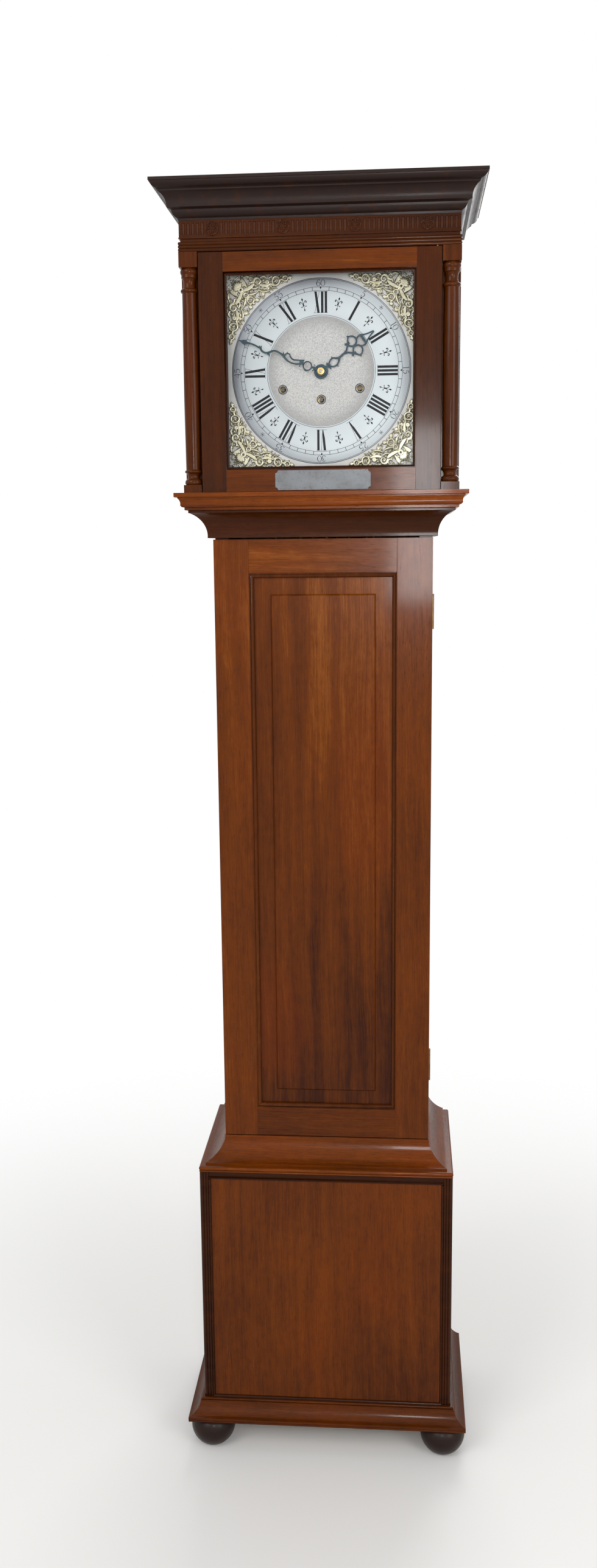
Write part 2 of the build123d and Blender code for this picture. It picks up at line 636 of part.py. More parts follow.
def make_trunk_door():
    back_y = TRUNK_FRONT_Y + TRUNK_DOOR_THICK
    sight_half = TRUNK_HALF - TRUNK_STILE
    low = TRUNK_DOOR_Z + TRUNK_BOTTOM_RAIL
    high = TRUNK_DOOR_TOP_Z - TRUNK_TOP_RAIL
    panel_y = TRUNK_FRONT_Y + PANEL_DEPTH
    tongue = sight_half + PANEL_TONGUE
    panel = block(-tongue, tongue, panel_y, panel_y + PANEL_THICK, low - PANEL_TONGUE, high + PANEL_TONGUE)
    stile = block(sight_half, TRUNK_HALF, TRUNK_FRONT_Y, back_y, TRUNK_DOOR_Z, TRUNK_DOOR_TOP_Z) - panel
    right = stile - hinge_notches(HINGE_Y - LEAF_GAP / 2 - HINGE_LEAF, HINGE_Y - LEAF_GAP / 2)
    save("trunk_door_stiles", right, mirror(stile, about=Plane.YZ))
    low_rail = block(-sight_half, sight_half, TRUNK_FRONT_Y, back_y, TRUNK_DOOR_Z, low) - panel
    top_rail = block(-sight_half, sight_half, TRUNK_FRONT_Y, back_y, high, TRUNK_DOOR_TOP_Z) - panel
    save("trunk_door_rails", low_rail, top_rail)
    field_half = sight_half - FIELD_MARGIN
    field_low = low + FIELD_MARGIN - FIELD_DROP
    field_high = high - FIELD_MARGIN
    field = block(-field_half, field_half, panel_y - FIELD_RISE, panel_y, field_low, field_high)
    field = chamfer(field.faces().sort_by(Axis.Y)[0].edges(), FIELD_CHAMFER)
    save("trunk_door_panel", panel + field)
    proud_y = TRUNK_FRONT_Y - MOULDING_PROUD
    save("trunk_door_moulding", *frame_strips([
        (0, panel_y),
        (0, proud_y),
        (MOULDING_FLAT, proud_y),
        (MOULDING_STEP, TRUNK_FRONT_Y + MOULDING_DROP),
        (SIGHT_MOULDING, panel_y - MOULDING_EDGE, 1.5),
        (SIGHT_MOULDING, panel_y),
    ], sight_half, low, high))


def make_hood():
    pivot_x = HOOD_DOOR_HALF - PIVOT_INSET
    pivot_y = HOOD_DOOR_Y + PIVOT_DEPTH
    socket = PIVOT_LENGTH + LEAF_GAP
    hood_base = fitted(HOOD_BASE_PROFILE, HOOD_BASE_OUT, HOOD_BASE_HEIGHT)
    front, *returns = moulding(hood_base, HOOD_HALF, HOOD_Z)
    front -= upright(PIVOT_RADIUS + FIT_GAP, pivot_x, pivot_y, HOOD_BODY_Z - socket, HOOD_BODY_Z)
    save("hood_base_moulding", front, *returns)
    post_back_y = COLUMN_BACK_Y + HOOD_BOARD
    side = block(HOOD_HALF - HOOD_BOARD, HOOD_HALF, post_back_y, REAR_Y, HOOD_BODY_Z, BEAD_Z)
    post = block(HOOD_HALF - COLUMN_SQUARE, HOOD_HALF, COLUMN_BACK_Y, post_back_y, HOOD_BODY_Z, BEAD_Z)
    frame_half = HOOD_HALF + CORNICE_PROFILE[0][0]
    lid = block(-frame_half, frame_half, MITRE_SUM - frame_half, REAR_Y, TOP_Z - HOOD_BOARD, TOP_Z)
    save("hood_carcase", *both_sides(side), *both_sides(post), lid)
    mask_half = HOOD_HALF - COLUMN_SQUARE
    mask_back_y = COLUMN_BACK_Y + MASK_THICK
    mask = block(-mask_half, mask_half, COLUMN_BACK_Y, mask_back_y, HOOD_BODY_Z, BEAD_Z)
    mask -= block(-SIGHT / 2, SIGHT / 2, COLUMN_BACK_Y, mask_back_y, SIGHT_Z, SIGHT_Z + SIGHT)
    save("hood_mask", mask)
    bead, *bead_returns = moulding(fitted(BEAD_PROFILE, 0, BEAD_HEIGHT), HOOD_HALF, BEAD_Z)
    bead -= upright(PIVOT_RADIUS + FIT_GAP, pivot_x, pivot_y, BEAD_Z, BEAD_Z + socket)
    save("hood_frieze", bead, *bead_returns, *make_frieze())
    cornice = fitted(CORNICE_PROFILE, CORNICE_OUT, CORNICE_HEIGHT)
    save("hood_cornice", *moulding(cornice, HOOD_HALF, CORNICE_Z))
    make_columns()


def make_frieze():
    """Frieze board with a row of flutes broken by turned roundels."""
    board, *returns = moulding(fitted(FRIEZE_PROFILE, 0, FRIEZE_HEIGHT), HOOD_HALF, FRIEZE_Z)
    face = HOOD_HALF + FRIEZE_PROFILE[1][0]
    face_y = MITRE_SUM - face
    mid_z = (FRIEZE_Z + CORNICE_Z) / 2
    cut_y = face_y + FLUTE_DEPTH - FLUTE_RADIUS
    low = mid_z - FLUTE_HEIGHT / 2
    board -= [upright(FLUTE_RADIUS, x, cut_y, low, low + FLUTE_HEIGHT) for x in flute_places(face)]
    rim = ROUNDEL_RADIUS - ROUNDEL_RIM
    discs = []
    for x in roundel_places():
        disc = arbor(ROUNDEL_RADIUS, x, mid_z, face_y - ROUNDEL_RISE, face_y)
        disc -= arbor(rim, x, mid_z, face_y - ROUNDEL_RISE, face_y - ROUNDEL_RISE / 2)
        disc += arbor(ROUNDEL_RADIUS / 4, x, mid_z, face_y - ROUNDEL_RISE, face_y)
        discs.append(disc)
    return [board, *returns, *discs]


def roundel_places():
    first = -ROUNDEL_SPACING * (ROUNDEL_COUNT - 1) / 2
    return [first + ROUNDEL_SPACING * i for i in range(ROUNDEL_COUNT)]


def flute_places(face):
    """Flutes fill the stretches between roundels and run out to both ends of the board."""
    between = int((ROUNDEL_SPACING - 2 * ROUNDEL_SPACE) / FLUTE_PITCH + 0.5) + 1
    places = []
    centres = roundel_places()
    for left, right in zip(centres, centres[1:]):
        middle = (left + right) / 2
        places += [middle + FLUTE_PITCH * (i - (between - 1) / 2) for i in range(between)]
    x = centres[-1] + ROUNDEL_SPACE
    while x + FLUTE_RADIUS + FLUTE_DEPTH < face:
        places += [x, -x]
        x += FLUTE_PITCH
    return places


def make_columns():
    """Turned from the square, so each column and its two end blocks are one piece."""
    x = HOOD_HALF - COLUMN_SQUARE / 2
    y = HOOD_FRONT_Y + COLUMN_SQUARE / 2
    half = COLUMN_SQUARE / 2
    low = HOOD_BODY_Z + COLUMN_BOTTOM_BLOCK
    high = BEAD_Z - COLUMN_TOP_BLOCK
    rings = [(0, 0)]
    rings += [(SHAFT_RADIUS + out, up, *bow) for out, up, *bow in COLUMN_FOOT]
    rings += [(SHAFT_RADIUS + out, high - low - down, *bow) for out, down, *bow in COLUMN_HEAD]
    rings += [(0, high - low)]
    column = turned(rings, x, y, low)
    column += block(x - half, x + half, y - half, y + half, HOOD_BODY_Z, low)
    column += block(x - half, x + half, y - half, y + half, high, BEAD_Z)
    save("hood_columns", *both_sides(column))


def make_hood_door():
    sight_half = SIGHT / 2
    back_y = HOOD_DOOR_Y + HOOD_DOOR_THICK
    glass_y = HOOD_DOOR_Y + GLASS_DEPTH
    pane_half = sight_half + GLASS_LAP
    low = SIGHT_Z - GLASS_LAP
    high = SIGHT_Z + SIGHT + GLASS_LAP
    rebate = block(-pane_half, pane_half, glass_y, back_y, low, high)
    straps, housings = make_straps()
    stile = block(sight_half, HOOD_DOOR_HALF, HOOD_DOOR_Y, back_y, HOOD_DOOR_Z, HOOD_DOOR_TOP_Z) - rebate
    save("hood_door_stiles", stile - housings, mirror(stile, about=Plane.YZ))
    low_rail = block(-sight_half, sight_half, HOOD_DOOR_Y, back_y, HOOD_DOOR_Z, SIGHT_Z) - rebate
    top_rail = block(
        -sight_half, sight_half, HOOD_DOOR_Y, back_y, SIGHT_Z + SIGHT, HOOD_DOOR_TOP_Z
    ) - rebate
    save("hood_door_rails", low_rail, top_rail)
    save("hood_door_glass", block(-pane_half, pane_half, glass_y, glass_y + GLASS_THICK, low, high))
    save("hood_door_sight_bead", *frame_strips([
        (0, glass_y),
        (0, glass_y - SIGHT_BEAD),
        (SIGHT_BEAD_FLAT, glass_y - SIGHT_BEAD),
        (SIGHT_BEAD, glass_y - SIGHT_BEAD_EDGE, -1.0),
        (SIGHT_BEAD, glass_y),
    ], sight_half, SIGHT_Z, SIGHT_Z + SIGHT))
    save("hood_door_pivots", *straps)
    make_plaque()


def make_straps():
    """Pivot straps let into the ends of the hinge stile, each with a pin that stands into the hood."""
    pivot_x = HOOD_DOOR_HALF - PIVOT_INSET
    pivot_y = HOOD_DOOR_Y + PIVOT_DEPTH
    y0 = pivot_y - PIVOT_RADIUS - SOFT_GAP
    straps = []
    for end, up in ((HOOD_DOOR_Z, -1), (HOOD_DOOR_TOP_Z, 1)):
        z0, z1 = sorted((end, end - up * STRAP_THICK))
        strap = block(HOOD_DOOR_HALF - STRAP_LENGTH, HOOD_DOOR_HALF, y0, y0 + STRAP_WIDTH, z0, z1)
        straps.append(strap)
    housings = list(straps)
    pins = []
    for end, up in ((HOOD_DOOR_Z, -1), (HOOD_DOOR_TOP_Z, 1)):
        z0, z1 = sorted((end, end + up * PIVOT_LENGTH))
        pins.append(upright(PIVOT_RADIUS, pivot_x, pivot_y, z0, z1))
    return [strap + pin for strap, pin in zip(straps, pins)], housings


def make_plaque():
    half = PLAQUE_WIDTH / 2
    z = HOOD_DOOR_Z + HOOD_BOTTOM_RAIL / 2
    tall = PLAQUE_HEIGHT / 2
    plate = Pos(PLAQUE_OFFSET, z) * Rectangle(PLAQUE_WIDTH, PLAQUE_HEIGHT)
    for sx in (-1, 1):
        for sz in (-1, 1):
            plate -= Pos(PLAQUE_OFFSET + sx * half, z + sz * tall) * Circle(PLAQUE_SCOOP)
    pins = []
    for side in (-1, 1):
        x = PLAQUE_OFFSET + side * (half - PLAQUE_PIN_INSET)
        plate -= Pos(x, z) * Circle(PLAQUE_PIN_RADIUS + FIT_GAP)
        head_y = HOOD_DOOR_Y - PLAQUE_THICK
        head = arbor(PLAQUE_HEAD_RADIUS, x, z, head_y - PLAQUE_HEAD, head_y)
        pins.append(arbor(PLAQUE_PIN_RADIUS, x, z, head_y, HOOD_DOOR_Y) + head)
    save("plaque", slab(plate, HOOD_DOOR_Y - PLAQUE_THICK, HOOD_DOOR_Y), *pins)


def make_dial():
    half = DIAL_SIZE / 2
    plate = block(-half, half, DIAL_Y, DIAL_BACK_Y, DIAL_Z - half, DIAL_Z + half)
    plate -= arbor(DIAL_HOLE, 0, DIAL_Z, DIAL_Y, DIAL_BACK_Y)
    for x, z in TRAINS.values():
        plate += arbor(FERRULE_RADIUS, x, z, DIAL_Y - FERRULE_RISE, DIAL_Y)
        plate -= arbor(WINDING_HOLE, x, z, DIAL_Y - FERRULE_RISE, DIAL_BACK_Y)
    save("dial_plate", plate)
    edge = SIGHT / 2 - SPANDREL_EDGE
    ring = CHAPTER_RADIUS + SPANDREL_GAP
    middle = edge - SPANDREL_REACH / 2
    corner = Pos(middle, middle) * Rectangle(SPANDREL_REACH, SPANDREL_REACH)
    corner -= Circle(ring)
    blanks = []
    for sx in (1, -1):
        piece = corner if sx > 0 else mirror(corner, about=Plane.YZ)
        for turned_over in (False, True):
            flat = mirror(piece, about=Plane.XZ) if turned_over else piece
            blanks.append(slab(Pos(0, DIAL_Z) * flat, DIAL_Y - SPANDREL_RISE, DIAL_Y))
    save("dial_spandrels", *blanks)


def gear(teeth, module, phase, tip=0.9, root=1.2, tip_share=0.09, root_share=0.26):
    """Toothed outline about the origin. One tooth points at the phase angle, in degrees."""
    pitch_radius = teeth * module / 2
    step = 2 * math.pi / teeth
    points = []
    for i in range(teeth):
        centre = math.radians(phase) + i * step
        for radius, share in (
            (pitch_radius - root * module, -root_share),
            (pitch_radius + tip * module, -tip_share),
            (pitch_radius + tip * module, tip_share),
            (pitch_radius - root * module, root_share),
        ):
            angle = centre + share * step
            points.append((radius * math.cos(angle), radius * math.sin(angle)))
    return outline(points)


def spoked(sketch, rim, hub, bore, spokes=4):
    """Crosses out a wheel blank, leaving spokes, and bores it for its arbor."""
    window = Circle(rim) - Circle(hub)
    for i in range(spokes):
        window -= Rot(0, 0, 360 / spokes * i) * Pos(rim / 2, 0) * Rectangle(rim, hub * 0.55)
    return sketch - window - Circle(bore)


def make_great_wheel(name, x, z, y0, bore):
    radius = GREAT_TEETH * GREAT_MODULE / 2
    blank = gear(GREAT_TEETH, GREAT_MODULE, 90.0)
    blank = spoked(blank, radius - GREAT_RIM, GREAT_HUB, bore, spokes=5)
    wheel = slab(Pos(x, z) * blank, y0, y0 + WHEEL_THICK)
    save(f"{name}_great_wheel", wheel)


def make_drum(name, x, z, y0, y1):
    """Grooved drum with flanges on its winding arbor, whose front end is squared for the key."""
    core = DRUM_LINE_RADIUS - LINE_RADIUS - SOFT_GAP
    flange = DRUM_LINE_RADIUS + DRUM_FLANGE_RISE / 2
    barrel = arbor(core, x, z, y0, y1)
    barrel += arbor(flange, x, z, y0, y0 + DRUM_FLANGE)
    barrel += arbor(flange, x, z, y1 - DRUM_FLANGE, y1)
    shoulder_y = FRONT_PLATE_Y - PIVOT_STAND
    spindle = arbor(DRUM_ARBOR_RADIUS, x, z, shoulder_y, BEHIND_Y + PIVOT_STAND)
    half = WINDING_SQUARE / 2
    square = block(x - half, x + half, DIAL_Y + SQUARE_SETBACK, shoulder_y, z - half, z + half)
    save(f"{name}_drum", barrel + spindle + square)


def make_trains():
    rear_wheel_y = BACK_PLATE_Y - PINION_LENGTH
    front_wheel_y = INSIDE_Y + WHEEL_THICK + CLICK_SPACE
    bore = DRUM_ARBOR_RADIUS + FIT_GAP
    for name, (x, z) in TRAINS.items():
        if name == "going":
            make_great_wheel(name, x, z, rear_wheel_y, bore)
            drum_end_y = rear_wheel_y - DRUM_GAP
            make_drum(name, x, z, drum_end_y - DRUM_LENGTH, drum_end_y)
        else:
            make_great_wheel(name, x, z, front_wheel_y, bore)
            drum_y = front_wheel_y + WHEEL_THICK + DRUM_GAP
            make_drum(name, x, z, drum_y, drum_y + DRUM_LENGTH)
    third_y = DRUM_MID_Y
    escape_y = BACK_PLATE_Y - PINION_LENGTH * 2
    centre_y = INSIDE_Y + WHEEL_SETBACK
    front_end = FRONT_PLATE_Y - PIVOT_STAND
    wheel_with_arbor("centre_wheel", DIAL_Z, CENTRE_TEETH, CENTRE_MODULE, 90.0, centre_y,
                     CENTRE_LEAVES, GREAT_MODULE, rear_wheel_y, DIAL_Y - HAND_THICK * 7)
    wheel_with_arbor("third_wheel", THIRD_Z, THIRD_TEETH, THIRD_MODULE, 90.0, third_y,
                     THIRD_LEAVES, CENTRE_MODULE, centre_y, front_end)
    wheel_with_arbor("escape_wheel", ESCAPE_Z, 0, 0, 0, escape_y,
                     ESCAPE_LEAVES, THIRD_MODULE, third_y, front_end)
    make_anchor(escape_y)


def wheel_with_arbor(name, z, teeth, module, phase, wheel_y, leaves, leaf_module, mesh_y, front_end):
    """Brass wheel and steel arbor with its pinion. The pinion meshes with the arbor below."""
    gap_angle = -90.0 + 180.0 / leaves
    pinion_y = mesh_y + WHEEL_THICK / 2 - PINION_LENGTH / 2
    pinion_y = max(pinion_y, INSIDE_Y + END_SHAKE)
    pinion_y = min(pinion_y, BACK_PLATE_Y - PINION_LENGTH - END_SHAKE)
    leaf = gear(leaves, leaf_module, gap_angle, tip=0.75, root=1.3, tip_share=0.08, root_share=0.16)
    pinion = slab(Pos(0, z) * leaf, pinion_y, pinion_y + PINION_LENGTH)
    bar = arbor(ARBOR_RADIUS, 0, z, front_end, BEHIND_Y + PIVOT_STAND) + pinion
    if teeth:
        blank = gear(teeth, module, phase)
        rim = teeth * module / 2 - WHEEL_RIM
    else:
        blank = escape_outline()
        rim = ESCAPE_RADIUS - GREAT_RIM
    blank = spoked(blank, rim, WHEEL_HUB, ARBOR_RADIUS + FIT_GAP)
    wheel = slab(Pos(0, z) * blank, wheel_y, wheel_y + WHEEL_THICK)
    save(name, bar, wheel)


def escape_outline():
    """Raked teeth whose tips lie on the escape radius, set so that both pallets stand in gaps."""
    step = 360.0 / ESCAPE_TEETH
    root = ESCAPE_RADIUS - ESCAPE_TOOTH
    points = []
    for i in range(ESCAPE_TEETH):
        tip_angle = (i + 0.5) * step
        for radius, offset in ((root, 3.5), (ESCAPE_RADIUS, 0.5), (ESCAPE_RADIUS, -0.5), (root, -1.0)):
            angle = math.radians(tip_angle - offset)
            points.append((radius * math.cos(angle), radius * math.sin(angle)))
    return outline(points)


def make_anchor(escape_y):
    """Anchor with two pallets over the escape wheel, and the crutch that embraces the rod."""
    yoke = Circle(ANCHOR_HUB)
    for side in (1, -1):
        place = Pos(0, -ANCHOR_ABOVE_ESCAPE) * Rot(0, 0, -45 * side) * Pos(0, ESCAPE_RADIUS)
        nib = outline([(x * side, z) for x, z in PALLET_OUTLINE][::side])
        yoke += place * nib
    yoke -= Circle(ARBOR_RADIUS + FIT_GAP)
    pallet_back_y = escape_y + WHEEL_THICK + PALLET_OVERLAP
    pallets = slab(Pos(0, ANCHOR_Z) * yoke, escape_y - PALLET_OVERLAP, pallet_back_y)
    crutch_y = BEHIND_Y + CRUTCH_THICK
    bearing_y = BEHIND_Y + COCK_DEPTH / 3
    bar = arbor(ARBOR_RADIUS, 0, ANCHOR_Z, FRONT_PLATE_Y - PIVOT_STAND, bearing_y + PLATE_THICK)
    low = ANCHOR_Z - CRUTCH_LENGTH
    high = ANCHOR_Z - ARBOR_RADIUS
    fork_back_y = PENDULUM_Y + ROD_RADIUS
    half = ROD_RADIUS + SOFT_GAP
    bar += block(-ARBOR_RADIUS, ARBOR_RADIUS, crutch_y, crutch_y + CRUTCH_THICK, low, high)
    bar += arbor(ANCHOR_HUB, 0, ANCHOR_Z, crutch_y, crutch_y + CRUTCH_THICK)
    outer = half + ARBOR_RADIUS
    fork = block(-outer, outer, crutch_y, fork_back_y, low - CRUTCH_THICK, low)
    fork -= block(-half, half, crutch_y + CRUTCH_THICK, fork_back_y, low - CRUTCH_THICK, low)
    save("anchor", pallets, bar + fork)


def make_motion_work():
    """Cannon wheel, minute wheel and hour wheel between the dial and the front plate."""
    cannon_module = 2 * MINUTE_ARBOR_OUT / (2 * CANNON_TEETH)
    hour_module = 2 * MINUTE_ARBOR_OUT / (HOUR_TEETH + MINUTE_LEAVES)
    wheel_y = FRONT_PLATE_Y - MOTION_GAP
    hour_y = wheel_y - MOTION_GAP
    pipe = ARBOR_RADIUS + PIPE_WALL
    hour_bore = pipe + FIT_GAP
    hour_pipe = hour_bore + PIPE_WALL
    toward = 45.0
    cannon = gear(CANNON_TEETH, cannon_module, toward) - Circle(ARBOR_RADIUS + FIT_GAP)
    cannon_solid = slab(Pos(0, DIAL_Z) * cannon, wheel_y, wheel_y + WHEEL_THICK)
    hour_hand_y, minute_hand_y = hand_places()
    sleeve = arbor(pipe, 0, DIAL_Z, minute_hand_y, wheel_y)
    sleeve -= arbor(ARBOR_RADIUS + FIT_GAP, 0, DIAL_Z, minute_hand_y, wheel_y)
    save("cannon_wheel", cannon_solid + sleeve)
    hour = gear(HOUR_TEETH, hour_module, toward)
    hour = spoked(hour, HOUR_TEETH * hour_module / 2 - HOUR_RIM, HOUR_HUB, hour_bore)
    hour_solid = slab(Pos(0, DIAL_Z) * hour, hour_y, hour_y + WHEEL_THICK)
    tube = arbor(hour_pipe, 0, DIAL_Z, hour_hand_y, hour_y)
    tube -= arbor(hour_bore, 0, DIAL_Z, hour_hand_y, hour_y)
    save("hour_wheel", hour_solid + tube)
    away = toward + 180.0
    stud = ARBOR_RADIUS + FIT_GAP
    minute = gear(CANNON_TEETH, cannon_module, away + 180.0 / CANNON_TEETH) - Circle(stud)
    gap_angle = away + 180.0 / MINUTE_LEAVES
    leaf = gear(MINUTE_LEAVES, hour_module, gap_angle, tip=0.75, root=1.1, tip_share=0.08, root_share=0.16)
    leaf -= Circle(STUD_RADIUS)
    place = Pos(MINUTE_ARBOR, DIAL_Z + MINUTE_ARBOR)
    wheel = slab(place * minute, wheel_y, wheel_y + WHEEL_THICK)
    wheel += slab(place * leaf, hour_y - PIVOT_STAND, wheel_y)
    save("minute_wheel", wheel)


def hand_places():
    hour_y = DIAL_Y - HAND_THICK * 2
    minute_y = DIAL_Y - HAND_THICK * 5
    return hour_y, minute_y


def hand(blade, rings, boss, bore, angle):
    """A blade with rings beside it and a bored boss, turned clockwise from twelve o'clock."""
    left = [(-half, along) for half, along in reversed(blade)]
    shape = Circle(boss) + outline([*blade, *left])
    for side, along, radius, inner in rings:
        shape += Pos(side, along) * Circle(radius) - Pos(side, along) * Circle(inner)
    shape -= Circle(bore)
    return Pos(0, DIAL_Z) * Rot(0, 0, -angle) * shape


def make_hands():
    hour_y, minute_y = hand_places()
    pipe = ARBOR_RADIUS + PIPE_WALL
    hour_bore = pipe + 2 * FIT_GAP + PIPE_WALL
    hour = hand(HOUR_BLADE, HOUR_RINGS, HOUR_BOSS, hour_bore, HOUR_ANGLE)
    save("hour_hand", slab(hour, hour_y, hour_y + HAND_THICK))
    minute = hand(MINUTE_BLADE, MINUTE_RINGS, MINUTE_BOSS, pipe, MINUTE_ANGLE)
    save("minute_hand", slab(minute, minute_y, minute_y + HAND_THICK))
    nut = arbor(NUT_RADIUS, 0, DIAL_Z, minute_y - NUT_LENGTH, minute_y)
    nut -= arbor(ARBOR_RADIUS + FIT_GAP, 0, DIAL_Z, minute_y - NUT_LENGTH, minute_y)
    save("hand_nut", nut)


def pillar_places():
    x = PLATE_WIDTH / 2 - PILLAR_INSET
    return [(x, PLATE_TOP - PILLAR_INSET), (-x, PLATE_TOP - PILLAR_INSET),
            (x, PILLAR_INSET - PLATE_BOTTOM), (-x, PILLAR_INSET - PLATE_BOTTOM)]


def make_movement():
    half = PLATE_WIDTH / 2
    mid = (PLATE_TOP - PLATE_BOTTOM) / 2
    blank = RectangleRounded(PLATE_WIDTH, PLATE_TOP + PLATE_BOTTOM, PLATE_CORNER)
    blank = Pos(0, DIAL_Z + mid) * blank
    for x, z in TRAINS.values():
        blank -= Pos(x, z) * Circle(DRUM_ARBOR_RADIUS + FIT_GAP)
    for z in (DIAL_Z, THIRD_Z, ESCAPE_Z):
        blank -= Pos(0, z) * Circle(ARBOR_RADIUS + FIT_GAP)
    front = blank - Pos(0, ANCHOR_Z) * Circle(ARBOR_RADIUS + FIT_GAP)
    back = blank - Pos(0, ANCHOR_Z) * Circle(ARBOR_RADIUS + PALLET_CLEARANCE)
    plates = [slab(front, FRONT_PLATE_Y, INSIDE_Y), slab(back, BACK_PLATE_Y, BEHIND_Y)]
    save("movement_plates", *plates)
    pieces = [arbor(PILLAR_RADIUS, x, DIAL_Z + z, INSIDE_Y, BACK_PLATE_Y) for x, z in pillar_places()]
    foot_x = half - 3 * PILLAR_INSET
    for z in (PLATE_TOP - PILLAR_INSET, PILLAR_INSET - PLATE_BOTTOM):
        for x in (-foot_x, foot_x):
            pieces.append(arbor(DIAL_FOOT_RADIUS, x, DIAL_Z + z, DIAL_BACK_Y, FRONT_PLATE_Y))
    stud_y = FRONT_PLATE_Y - 2 * MOTION_GAP - STUD_STAND
    stud_z = DIAL_Z + MINUTE_ARBOR
    pieces.append(arbor(STUD_RADIUS - FIT_GAP, MINUTE_ARBOR, stud_z, stud_y, FRONT_PLATE_Y))
    bolt_x = half - PILLAR_INSET
    pillar_low = DIAL_Z - PLATE_BOTTOM + PILLAR_INSET - PILLAR_RADIUS
    head_z = SEAT_Z - SEAT_BOLT_THICK
    for x in (-bolt_x, bolt_x):
        bolt = upright(SEAT_BOLT_RADIUS, x, DRUM_MID_Y, head_z, pillar_low + PIVOT_STAND)
        bolt += upright(SEAT_BOLT_HEAD, x, DRUM_MID_Y, head_z, SEAT_Z)
        pillar = next(i for i, piece in enumerate(pieces) if piece.distance_to(bolt) < FIT_GAP)
        pieces[pillar] += bolt
    save("movement_pillars", *pieces)
    make_seatboard(bolt_x)


def make_seatboard(bolt_x):
    front_y = FRONT_PLATE_Y - SEAT_FRONT_REACH
    rear_y = BEHIND_Y + SEAT_REAR_REACH
    board = block(-TRUNK_HALF, TRUNK_HALF, front_y, rear_y, SEAT_Z, SEAT_TOP_Z)
    for x, z in TRAINS.values():
        board -= upright(LINE_HOLE, x - DRUM_LINE_RADIUS, DRUM_MID_Y, SEAT_Z, SEAT_TOP_Z)
    for x in (-bolt_x, bolt_x):
        board -= upright(SEAT_BOLT_RADIUS + FIT_GAP, x, DRUM_MID_Y, SEAT_Z, SEAT_TOP_Z)
    save("seatboard", board)


def make_cocks():
    """Back cock for the anchor and the suspension spring, and the two hammer brackets."""
    y1 = BEHIND_Y + COCK_DEPTH
    y0 = BEHIND_Y + COCK_DEPTH / 3
    low = ANCHOR_Z - COCK_RISE
    high = ANCHOR_Z + COCK_RISE
    cock = block(-COCK_HALF, COCK_HALF, y0, y1, low, high)
    cock += both_sides(block(COCK_HALF - COCK_FOOT, COCK_HALF, BEHIND_Y, y0, low, high))
    cock -= block(-COCK_SLOT, COCK_SLOT, PENDULUM_Y - CHOP_HALF, y1, low, high)
    cock -= arbor(ARBOR_RADIUS + FIT_GAP, 0, ANCHOR_Z, y0, y0 + COCK_BEARING)
    brackets = []
    z, y = hammer_axis()
    first = CHIME_OUT - ROD_PITCH * (ROD_COUNT + 1) / 2
    last = CHIME_OUT + ROD_PITCH * (ROD_COUNT + 1) / 2
    half = BRACKET_THICK / 2
    rise = BRACKET_RISE
    for x in (first, last):
        bracket = block(x - half, x + half, BEHIND_Y, y + rise, z - rise, z + rise)
        bore = Cylinder(HAMMER_ARBOR_RADIUS + FIT_GAP, 2 * BRACKET_THICK)
        bracket -= Pos(x, y, z) * Rot(0, 90, 0) * bore
        brackets.append(bracket)
    save("movement_cocks", cock, *brackets)


def hammer_axis():
    return DIAL_Z - HAMMER_AXIS_DROP, BEHIND_Y + HAMMER_AXIS_STAND


def chime_places():
    return [CHIME_OUT + ROD_PITCH * (i - (ROD_COUNT - 1) / 2) for i in range(ROD_COUNT)]


def make_chime():
    rod_y = BACKBOARD_Y - CHIME_ROD_STAND
    block_z = DIAL_Z + CHIME_BLOCK_RISE
    block_top = block_z + CHIME_BLOCK_HEIGHT
    half = ROD_PITCH * (ROD_COUNT + 1) / 2
    front_y = rod_y - CHIME_BLOCK_FRONT
    rods = block(CHIME_OUT - half, CHIME_OUT + half, front_y, BACKBOARD_Y, block_z, block_top)
    for i, x in enumerate(chime_places()):
        foot_z = block_z - CHIME_ROD_LENGTH + CHIME_ROD_STEP * i
        rods += upright(CHIME_ROD_RADIUS, x, rod_y, foot_z, block_z)
    save("chime_rods", rods)
    z, y = hammer_axis()
    pivot = Cylinder(HAMMER_ARBOR_RADIUS, 2 * half + BRACKET_THICK)
    hammers = Pos(CHIME_OUT, y, z) * Rot(0, 90, 0) * pivot
    head_y = rod_y - CHIME_ROD_RADIUS - HAMMER_GAP
    head_z = z + HAMMER_RISE
    foot = HAMMER_ARM * 0.6
    thin = HAMMER_ARM / 2
    arm = outline([
        (y - foot, z), (y + foot, z), (head_y - HAMMER_ARM, head_z - thin),
        (head_y - 2 * HAMMER_ARM, head_z + thin),
    ])
    for x in chime_places():
        hammers += extrude(Pos(x - thin, 0, 0) * (Plane.YZ * arm), HAMMER_ARM, dir=(1, 0, 0))
        hammers += arbor(HAMMER_RADIUS, x, head_z, head_y - HAMMER_LENGTH, head_y)
    save("chime_hammers", hammers)


